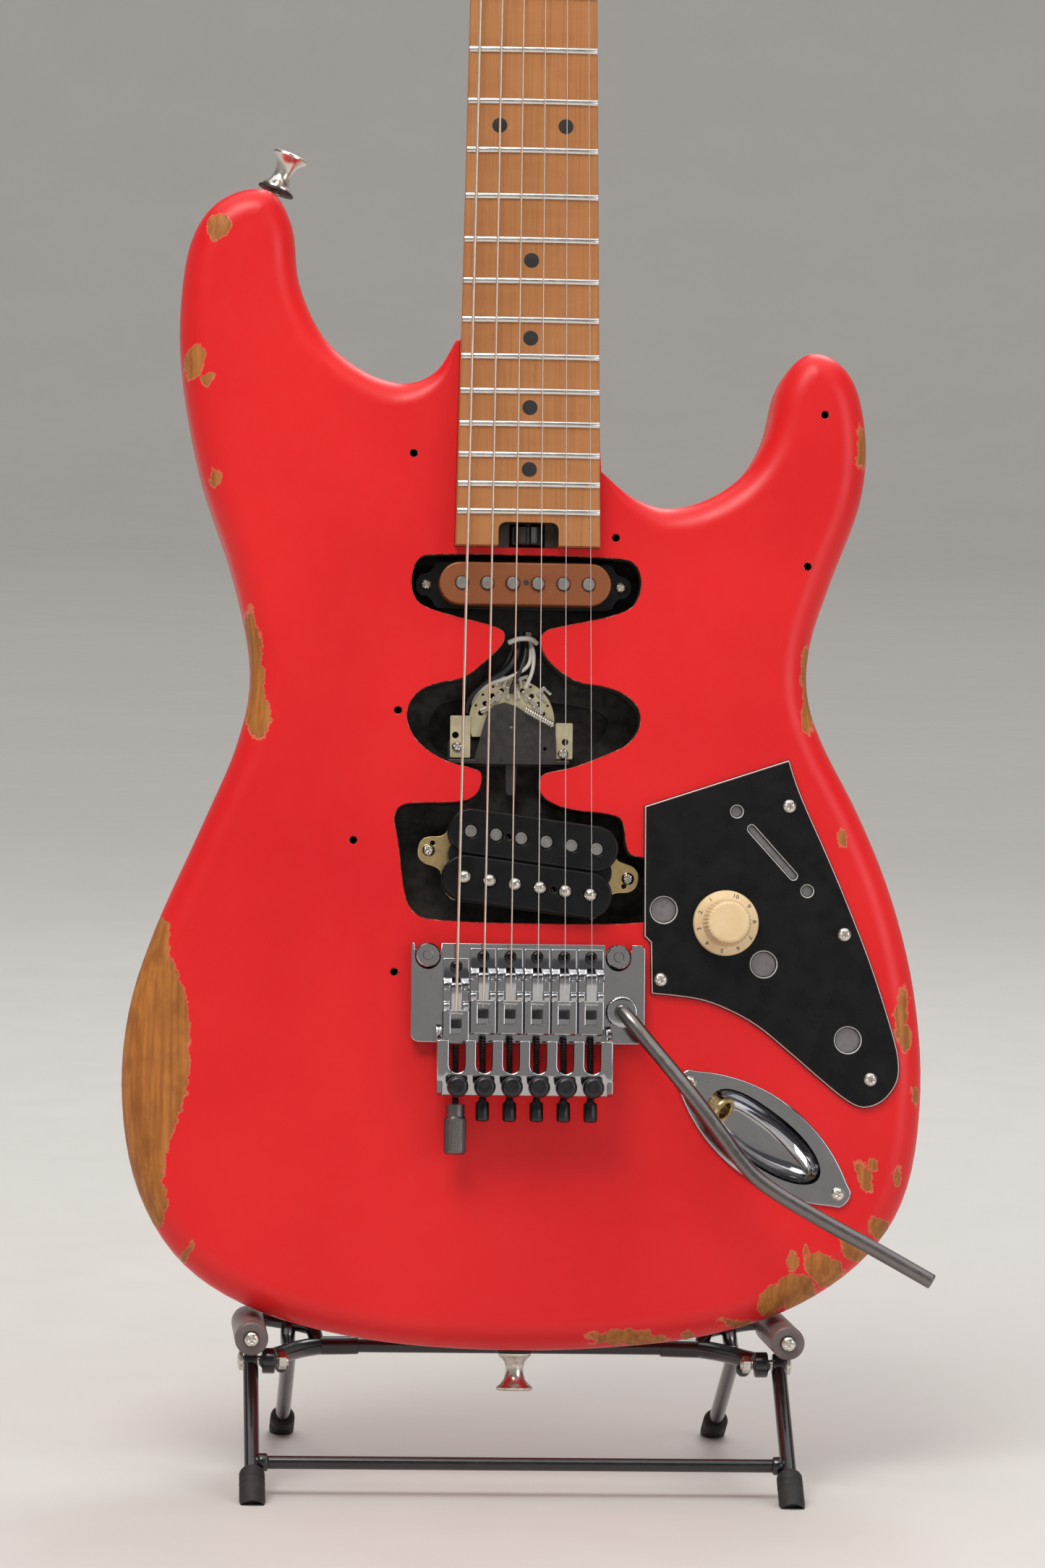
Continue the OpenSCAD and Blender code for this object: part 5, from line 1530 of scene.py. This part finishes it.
# Side views of a saddle's parts: (w, v)
SADDLE_FOOT = ((-5.05, 11), (-7.0, 11.2), (-7.4, 10.6), (-7.7, 4.2), (-9.0, 2.4), (-9.8, 0.6),
               (-10.0, -9.4), (-8.6, -22.0), (-5.05, -22.3))
SADDLE_RIDGE = ((-8.2, 3.8), (-11.8, 1.8), (-12.7, 0.8), (-12.9, -1.2), (-12.5, -3.8), (-11.7, -7.4),
                (-11.0, -9.6), (-9.0, -9.8))
SADDLE_CREST = ((-8.8, 2.6), (-11.2, 2.2), (-12.0, 1.2), (-12.0, -0.6), (-11.2, -1.5), (-8.8, -1.8))
SADDLE_LUMP = ((-9.0, -5.2), (-11.0, -5.8), (-11.9, -6.8), (-12.0, -8.2), (-11.2, -9.4), (-9.0, -9.6))


def saddles():
    """Six locking saddles: a foot, side lumps, a ridge under the string and a slotted block."""
    bm = bmesh.new()
    for i in range(6):
        u, d = string_u(i), set_back(i)
        side = Matrix(((0, 0, 1, u), (1, 0, 0, 0), (0, 1, 0, d), (0, 0, 0, 1)))
        prism(bm, [SADDLE_FOOT], corner(0.4, 0, -4.95, 2) + corner(0.4, 0, 4.95, 2, True), side)
        prism(bm, [SADDLE_RIDGE], corner(0.5, 0, -2.1, 2) + corner(0.5, 0, 2.1, 2, True), side)
        for s in (-1, 1):
            for loop in (SADDLE_CREST, SADDLE_LUMP):
                off = side @ Matrix.Translation((0, 0, s * 3.75))
                prism(bm, [loop], corner(0.35, 0, -1.2, 2) + corner(0.35, 0, 1.2, 2, True), off)
        spot = (u, d - 15.6)
        slot = rounded(4.2, 7.4, 0.4, (u, d - 14.4))
        prism(bm, [rounded(9.9, 13.4, 0.6, spot), slot],
              corner(0.5, 0, -11.1, 2) + [(0, -6.4)])
    piece("tremolo.saddles", bm, "tremolo", "chrome", replaces=["saddles"])
    bm = bmesh.new()
    for i in range(6):
        u, d = string_u(i), set_back(i)
        head(bm, at_face(u, 8 + d, -8.9, i), 2.4, 1.3, socket_cut(2.4, 1.15, 1.9), 1.2, 10, 36)
        prism(bm, [rounded(3.9, 3.8, 0.5, (u, d - 14.2))], slab_rows(-10.2, -6.2, 0.5))
        bolt = along((u, -8, -22.7 + d), (u, -11.2, -49 + d / 2))
        thread(bm, bolt, 1.55, 0, 26)
        if i:
            a, b = Vector((u, -11.1, -48.5)), Vector((u, -11.9, -56))
            lathe(bm, [(1.5, -1.2), (1.6, -0.3), (2.4, 0.1), (2.7, 0.7), (2.7, 6.6), (2.35, 7.4),
                       (1.5, 7.5), (1.4, 5.4), (0, 5.4)], along(a, b), 24)
    piece("tremolo.saddle_screws", bm, "tremolo", "black_hardware", replaces=["saddle_screws"], sharp=45,
          weighted=False)


def fine_tuners():
    for i in range(6):
        bm = bmesh.new()
        profile = [(0, -29.1), (1.2, -29.2), (2.6, -29.45), (3.5, -29.0), (3.95, -28.2), (4.12, -27.4),
                   (4.12, -23.6), (3.8, -23.0), (3.0, -22.6), (2.2, -22.35), (1.7, -21.6), (1.7, -14.8),
                   (0, -14.4)]

        def knurl(a, k):
            return 0.14 * math.cos(28 * a) if 4 <= k <= 7 else 0
        lathe(bm, profile, at_face(string_u(i), -42.8), 112, ridge=knurl)
        name = "fine_tuner_%d" % (i + 1)
        piece("tremolo." + name, bm, name + "_body", "black_hardware", replaces=[name], sharp=50)


def drop_tuner():
    """Smooth barrel, then a grip with a diamond pattern of crossing grooves."""
    bm = bmesh.new()
    a, b = Vector((string_u(0), -11.2, -49.5)), Vector((string_u(0), -11.2, -69))
    barrel = [(2.3, 0), (3.5, 0), (3.7, 0.3), (3.7, 4.6), (3.9, 5.0), (4.1, 5.4)]
    grip = [(4.15, 5.7 + 0.28 * k) for k in range(46)]
    profile = barrel + grip + [(3.9, 19.0), (3.2, 19.5), (0, 19.5), (0, 8.5), (2.3, 8.5)]

    def knurl(angle, k):
        k -= len(barrel)
        if not 0 <= k < len(grip):
            return 0
        left, right = math.sin(10 * angle + 1.05 * k), math.sin(10 * angle - 1.05 * k)
        return 0.2 - 0.32 * max(abs(left) < 0.3, abs(right) < 0.3)
    lathe(bm, profile, along(a, b), 120, ridge=knurl)
    piece("tremolo.drop_tuner", bm, "drop", "block_steel", replaces=["drop_tuner"], sharp=70)


ARM_POINTS = ((38.5, -10.5, -13), (39.2, -12.6, -13.7), (42, -15.6, -17.3), (48, -18.4, -24.8),
              (64, -25.5, -44.5), (76, -30.2, -60.5), (84.5, -32.8, -72), (93, -34.6, -80), (111, -37, -91),
              (134, -38.5, -103.5), (156.5, -40, -116))


def arm():
    bm = bmesh.new()
    round_tube(bm, curve(ARM_POINTS, 10), 2.95, 24)
    lathe(bm, [(0, -10.9), (3.0, -10.6), (3.0, -2.2), (0, -2.2)], at_face(*ARM), 24)
    piece("arm.bar", bm, "arm", "brushed_arm", replaces=["whammy_arm"], sharp=60)
    bm = bmesh.new()
    profile = [(3.1, -9.2), (5.4, -9.2), (6.1, -8.7), (6.25, -8.1), (6.25, -6.1), (5.9, -5.4), (5.9, -5.05),
               (3.1, -5.05)]

    def knurl(a, k):
        return 0.12 * math.cos(30 * a) if 2 <= k <= 4 else 0
    lathe(bm, profile, at_face(*ARM), 120, closed=True, ridge=knurl)
    piece("arm.collar", bm, "tremolo", "chrome", replaces=["arm_collar"], sharp=50)


def block_and_springs():
    bm = bmesh.new()
    prism(bm, [rounded(66, 19, 2, (0, -5))], slab_rows(-2.15, 41, 0.8))
    piece("tremolo.block", bm, "tremolo", "block_steel", replaces=["sustain_block"])
    bm = bmesh.new()
    for k in (-1, 0, 1):
        low, high = Vector((k * 24, 35.5, 5.2)), Vector((k * 24, 35.5, 96.4))
        n, turns = 900, 56
        pts = [Vector((k * 24, 39.0, 5.2)), Vector((k * 24, 36.4, 7.2))]
        for j in range(n + 1):
            a = math.tau * turns * j / n
            pts.append(Vector((k * 24 + 3.1 * math.sin(a), 35.5 + 3.1 * math.cos(a),
                               10 + 78 * j / n)))
        pts += [Vector((k * 24, 36.4, 90.5)), Vector((k * 24, 35.6, 95.8))]
        tube(bm, pts, 0.5, 6)
    ob = piece("tremolo.springs", bm, None, "nickel", replaces=["tremolo_springs"], sharp=80,
               weighted=False)
    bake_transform(ob)


def strings():
    """Six strings: the three thick ones are wound."""
    bm = bmesh.new()
    for i in range(6):
        mat = 0 if i < 3 else 1
        r = STRING_R[i]
        d = set_back(i)
        pts = [Vector((string_u(i), -9.2, d - 11.8)), Vector((string_u(i), -12.0, d - 7)),
               string_at(i, d - 2.5) + Vector((0, 0.25, 0)), string_at(i, 0.5 + d)]
        pts += [string_at(i, v) for v in (4, 8, 14, 20, 28, 40, 60, 120, 250, 400, 550, 640, 650)]
        pts += [string_at(i, 663), Vector((nut_u(i), -7.9, 670.4)),
                Vector((nut_u(i) + 1.2, -7.3, 676)), Vector((nut_u(i) + 2.6 + r, -7.5, tuner_v(i)))]
        tube(bm, pts, r, 10, mat)
        wrap = Matrix.Translation((nut_u(i), 0, tuner_v(i)))
        coil = [wrap @ Vector(((2.35 + r) * math.cos(a / 8 * math.tau), -7.5 + 0.32 * a * r,
                               (2.35 + r) * math.sin(a / 8 * math.tau))) for a in range(0, 22)]
        tube(bm, coil, r, 8, mat)
    ob = piece("strings.set", bm, None, ["wound_string", "string_steel"], replaces=["strings"], sharp=80,
               weighted=False)
    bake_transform(ob)


# ---- nut, headstock and tuners ----


def nut():
    bm = bmesh.new()
    plate = rounded(2 * NUT_HALF, 15.5, 1.0, (0, SCALE_LEN + 7.95))
    prism(bm, [plate], corner(0.8, 0, NUT_STRING_W + 0.75, 3) + [(0, -5.1)])
    for k in (-1, 0, 1):
        spot = (k * 2 * NUT_PITCH, 656)
        prism(bm, [rounded(13, 12.5, 1.5, spot), circle(1.7, spot, 20)],
              corner(1.2, 0, -15.3, 3) + corner(0.3, 0, -12.4, 1, True))
        head(bm, at_face(*spot, -17.2, k), 3.2, 1.4, socket_cut(3.2, 1.35, 2.2), 1.8, 12, 48)
    piece("nut.clamps", bm, "guitar", "chrome", replaces=["locking_nut"], sharp=45)
    bm = bmesh.new()
    prism(bm, [pill(58, 3.2, (0, 674), 10)], slab_rows(-11.2, -8.6, 1.0, 3))
    for s in (-1, 1):
        head(bm, at_face(s * 25, 674, -12.0, s), 2.8, 1.4, cross_cut(2.8), 0.7)
        lathe(bm, [(2.6, -8.55), (2.6, -1.6), (1.5, -1.55), (1.5, 6), (0, 6)], at_face(s * 25, 674), 20)
    piece("nut.retainer", bm, "guitar", "chrome", replaces=["string_retainer"], sharp=45)


def tuners():
    bm = bmesh.new()
    for i in range(6):
        u, v = nut_u(i), tuner_v(i)
        at = at_face(u, v)
        lathe(bm, [(3.1, -3.4), (4.6, -3.4), (5.3, -3.0), (5.6, -2.4), (5.6, -1.55), (3.1, -1.55)], at, 36,
              closed=True)
        lathe(bm, [(3.1, -2.4), (4.45, -2.4), (4.45, 12.4), (3.1, 12.4)], at, 24, closed=True)
        lathe(bm, [(0, -13.7), (1.2, -13.8), (2.5, -14), (2.95, -13.6), (3, -11), (2.7, -10.3),
                   (2.25, -9.2), (2.2, -6), (2.5, -4.6), (3, -4), (3, 12), (0, 12)], at, 32)
    piece("tuners.posts", bm, "guitar", "chrome", replaces=["tuner_posts"])
    bm = bmesh.new()
    for i in range(6):
        at = tuner_place(i)
        prism(bm, [rounded(17, 14, 2.4, (0.5, 0))], corner(0.4, 0, -5.9, 2) + corner(2.0, 0, 6.5, 4, True),
              at @ FACE)
        lathe(bm, [(2.1, 8.4), (3.6, 8.4), (3.6, 9.4), (3.2, 10), (3.2, 12.2), (2.1, 12.4)],
              at @ ACROSS, 28, closed=True)
    piece("tuners.housings", bm, "guitar", "chrome", replaces=["tuner_housings"])
    for i in range(6):
        bm = bmesh.new()
        at = tuner_place(i) @ ACROSS
        lathe(bm, [(0, 9), (1.95, 9), (1.95, 18.6), (2.6, 19), (3.4, 20), (3.9, 21.6), (2.8, 22.4),
                   (0, 22.4)], at, 28)
        button(bm, tuner_place(i) @ Matrix.Translation((28.5, 0, 0)))
        name = "tuner_key_%d" % (i + 1)
        piece("tuners." + name, bm, name + "_body", "chrome", replaces=[name], sharp=60)


def tuner_place(i):
    """Axes of one machine: x out of the headstock's edge, y into the head, z along it."""
    flip = Matrix.Scale(-1, 4, (1, 0, 0))
    return (Matrix.Translation((nut_u(i), TUNER_W, tuner_v(i)))
            @ Matrix.Rotation(TUNER_TURN, 4, "Y") @ flip)


def button(bm, at):
    """Kidney-shaped key button, thick in the middle and thin at its edge."""
    n, rows = 40, 7
    edge = []
    for k in range(n):
        a = k / n * math.tau
        r = 1 / max(1e-6, (abs(math.cos(a) / 7) ** 2.6 + abs(math.sin(a) / 9.5) ** 2.6) ** (1 / 2.6))
        edge.append(Vector((r * math.cos(a), 0, r * math.sin(a))))
    rings = []
    for k in range(rows + 1):
        q = -1 + 2 * k / rows
        size = (1 - abs(q) ** 3.0) ** 0.45 if abs(q) < 1 else 0.55
        size = 0.62 + 0.38 * size
        rings.append([bm.verts.new(at @ Vector((p.x * size, q * 2.7, p.z * size))) for p in edge])
    skin(bm, rings)


def back_hardware():
    bm = bmesh.new()
    holes = [circle(2.35, p, 20) for p in NECK_SCREWS]
    prism(bm, [rounded(51, 64, 6, (0, 203))] + holes, [(0, 44.05)] + corner(0.7, 0, 46, 3, True))
    piece("neck.plate", bm, "guitar", "chrome", replaces=["neck_plate"])
    bm = bmesh.new()
    holes = [circle(1.35, p, 16) for p in COVER_SCREWS] + [rounded(60, 14, 3, (0, -6))]
    prism(bm, [rounded(80, 162, 8, (0, 44), 8)] + holes, [(0, 44.05), (0, 44.9), (0.9, 45.6)])
    piece("back_cover.plate", bm, "guitar", "black_plastic", replaces=["back_cover"])
    bm = bmesh.new()
    prism(bm, [rounded(60, 8, 0.8, (0, 37))], slab_rows(96.9, 99.1, 0.3), Matrix.Identity(4))
    for s in (-1, 1):
        head(bm, along((s * 15, 37, 96.2), (s * 15, 37, 120)), 3.6, 1.8, cross_cut(3.6, 1.0, 0.5), 0.5)
        thread(bm, along((s * 15, 37, 96.0), (s * 15, 37, 120)), 1.95, 0.4, 37)
    piece("spring_claw.bar", bm, "guitar", "nickel", replaces=["spring_claw"], sharp=45)


# ---- stand ----


# Stand, in its own axes: half widths, the pivots (y, z), where the legs end, the back rest's middle
REAR_HALF = 88
FRONT_HALF = 103.5
BRACKET_HALF = 96.6
PIVOT = (-5, 45.4)
FRONT_TOE = (-60, 4)
REAR_TOE = (90, 4)
REST = (0, 62.2, 262)
STAND_R = 3


def stand():
    bm = bmesh.new()
    for s in (-1, 1):
        front, back = sleeve_point(s, -35.4), sleeve_point(s, 30)
        bend_arm = [front, back, sleeve_point(s, 33.5), (s * 98, 38.0, 55.2), (s * 88, 36.5, 54.0),
                    (s * 79.5, 33.5, 52.6), (s * 77.2, 31.5, 49.6), (s * 77, 31, 46)]
        round_tube(bm, curve(bend_arm, 6), STAND_R)
        cross = [(s * 76, 31, 45.6), (s * 84, 22, 45.6), (s * 92, 8.5, 45.4), (s * 96, 2, 45.4),
                 (s * BRACKET_HALF, -2.5, 45.4), (s * BRACKET_HALF, -8, 45.4)]
        round_tube(bm, curve(cross, 6), 3.6)
        rear_leg = [(s * REAR_HALF, y, z) for y, z in ((15, 46), (19, 43.8), REAR_TOE)]
        round_tube(bm, rear_leg, STAND_R)
        back_post = [(s * REAR_HALF, 20, 45.6), (s * REAR_HALF, 31, 48.5), (s * 87.6, 36.5, 56),
                     (s * 86.5, 40, 80), (s * 82, 54, 200), (s * 80.5, 57, 226), (s * 78.3, 59.6, 241),
                     (s * 72.5, 61.6, 253), (s * 65, 62.2, 260), (s * 58, 62.2, 262)]
        round_tube(bm, curve(back_post, 8), STAND_R)
        lathe(bm, [(0, -2.9), (1.6, -2.5), (2.8, -1.2), (3, 0), (2.8, 1.2), (1.6, 2.5), (0, 2.9)],
              Matrix.Translation((s * 91, 8, 41.3)), 20)
        boss = [(2.1, -2.5), (4.6, -2.5), (5, -2.1), (5, 2.1), (4.6, 2.5), (2.1, 2.5)]
        lathe(bm, boss, Matrix.Translation((s * BRACKET_HALF, *PIVOT)) @ ACROSS,
              32, closed=True)
    yoke = [(-79, 31, 45.8), (-66, 31, 45.8), (-58, 31, 46.1), (58, 31, 46.1), (66, 31, 45.8),
            (79, 31, 45.8)]
    round_tube(bm, curve(yoke, 4), STAND_R)
    for s in (-1, 1):
        round_tube(bm, [(s * 60, 31, 46.1), (s * 66, 31, 45.9), (s * 78, 31, 45.7)], 3.7)
    round_tube(bm, [(-58, *REST[1:]), REST, (58, *REST[1:])], STAND_R)
    piece("stand.rear_frame", bm, "stand", "stand_black", STAND, ["stand_rear_frame"], 60)
    front_frame()
    sleeves()
    feet()
    bolts()
    pad()


def sleeve_point(s, y):
    """A point on the middle of a sleeve arm."""
    box_low, box_high = (Vector(c) * 1000 - STAND_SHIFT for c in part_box("stand_sleeves"))
    mid = (box_low + box_high) / 2
    return Vector((s * 104, y, mid.z - (y - mid.y) * math.tan(math.radians(3))))


def front_frame():
    half = FRONT_HALF
    bm = bmesh.new()
    for s in (-1, 1):
        top, toe = Vector((s * half, *PIVOT)), Vector((s * half, *FRONT_TOE))
        round_tube(bm, [top.lerp(toe, 0.05), top.lerp(toe, 0.5), toe], STAND_R, 16)
        boss = [(2.1, -2.5), (4.0, -2.5), (4.4, -2.1), (4.4, 2.1), (4.0, 2.5), (2.1, 2.5)]
        lathe(bm, boss, Matrix.Translation(top) @ ACROSS, 32, closed=True)
    low = -48, 4 + 12 * 41.4 / 55
    round_tube(bm, [(-half, *low), (-50, *low), (50, *low), (half, *low)], 2.6, 16)
    for s in (-1, 1):
        lathe(bm, [(2.6, 0), (3.4, 0.4), (3.6, 1.4), (3.5, 3.4), (2.6, 4.2)],
              Matrix.Translation((s * (half - 2.2), *low)) @ Matrix.Rotation(-s * math.pi / 2, 4, "Y"), 24)
    piece("stand.front_frame", bm, "front_legs", "stand_black", STAND, ["stand_front_frame"], 60)


def sleeves():
    bm = bmesh.new()
    for s in (-1, 1):
        a, b = sleeve_point(s, -34), sleeve_point(s, 30)
        length = (b - a).length
        profile = [(3.08, 0), (5.6, 0), (6.2, 0.3), (6.5, 0.9), (6.5, length - 0.9), (6.2, length - 0.3),
                   (5.6, length), (3.08, length)]
        lathe(bm, profile, along(a, b), 48, closed=True)
    piece("stand.sleeves", bm, "stand", "sleeve_rubber", STAND, ["stand_sleeves"], 50)


def feet():
    for name, node, body, half, top, toe in (
            ("stand.front_feet", "front_feet", "front_legs", FRONT_HALF, PIVOT, FRONT_TOE),
            ("stand.rear_feet", "rear_feet", "stand", REAR_HALF, (15, 45.5), REAR_TOE)):
        bm = bmesh.new()
        for s in (-1, 1):
            a, b = Vector((s * half, *top)), Vector((s * half, *toe))
            way = (a - b).normalized()
            foot(bm, b, way)
        piece(name, bm, body, "foot_rubber", STAND, [node], 50)


def foot(bm, toe, way):
    """Ribbed rubber cap, flat where it stands on the floor."""
    rows = [(-9, 4.7), (-5, 5.0), (0, 5.0), (1.2, 5.0), (1.6, 4.6), (2.2, 4.6), (2.6, 5.0), (4.2, 5.0),
            (4.6, 4.6), (5.2, 4.6), (5.6, 5.0), (8.6, 4.95), (9.6, 4.5), (10, 3.9)]
    side = Vector((1, 0, 0))
    up = way.cross(side)
    rings = []
    for z, r in rows:
        ring = []
        for k in range(32):
            a = k / 32 * math.tau
            p = toe + way * z + (side * math.cos(a) + up * math.sin(a)) * r
            if p.z < 0:
                p -= way * (p.z / way.z)
            ring.append(bm.verts.new(p))
        rings.append(ring)
    skin(bm, rings)
    bmesh.ops.remove_doubles(bm, verts=bm.verts, dist=1e-4)


def bolts():
    bm = bmesh.new()
    for s in (-1, 1):
        at = Matrix.Translation((0, *PIVOT)) @ Matrix.Rotation(s * math.pi / 2, 4, "Y")
        lathe(bm, [(0, 88.6), (1.6, 88.6), (2, 89), (2, FRONT_HALF + 3), (0, FRONT_HALF + 3)], at, 20)
        cap = at @ Matrix.Translation((0, 0, FRONT_HALF + 4.4)) @ TURNED
        head(bm, cap, 3.8, 0.8, cross_cut(3.8, 0.7, 0.5), 1.4)
        prism(bm, [circle(3.4, n=6), circle(2.02, n=24)], slab_rows(89.4, 92.6, 0.35), at)
        tip = sleeve_point(s, -35.2)
        out = (sleeve_point(s, -40) - tip).normalized()
        place = along(tip - out * 0.1, tip + out * 5) @ Matrix.Translation((0, 0, 1.1))
        head(bm, place @ TURNED, 2.75, 1.0, cross_cut(2.75, 0.8, 0.4), 0.9)
    piece("stand.bolts", bm, "stand", "nickel", STAND, ["stand_bolts"], 50, weighted=False)


def pad():
    """Foam sleeve on the cross rod that the body leans on."""
    bm = bmesh.new()
    rows = []
    for k in range(41):
        x = -56 + 112 * k / 40
        end = min(1, (56 - abs(x)) / 2.5)
        r = 10 - 2.2 * (1 - math.sqrt(max(0, 1 - (1 - end) ** 2)))
        r += 0.12 * noise.noise(Vector((x * 0.25, 3, 1)))
        rows.append((min(r, 10.0), x))
    profile = [(3.08, -56)] + rows + [(3.08, 56)]
    at = Matrix.Translation(REST) @ ACROSS
    lathe(bm, profile, at, 48, closed=True)
    ob = piece("stand.pad", bm, "stand", "pad_foam", STAND, ["back_pad"], 60)


camera()
make_materials()
studio()
dress_nodes()
guitar_body()
neck()
frets()
fret_dots()
truss_wheel()
neck_pickup()
humbucker()
switch()
wires()
control_plate()
knob()
pot_parts()
jack()
screws()
strap_buttons()
tremolo_posts()
tremolo_plate()
saddles()
fine_tuners()
drop_tuner()
arm()
block_and_springs()
strings()
nut()
tuners()
back_hardware()
stand()
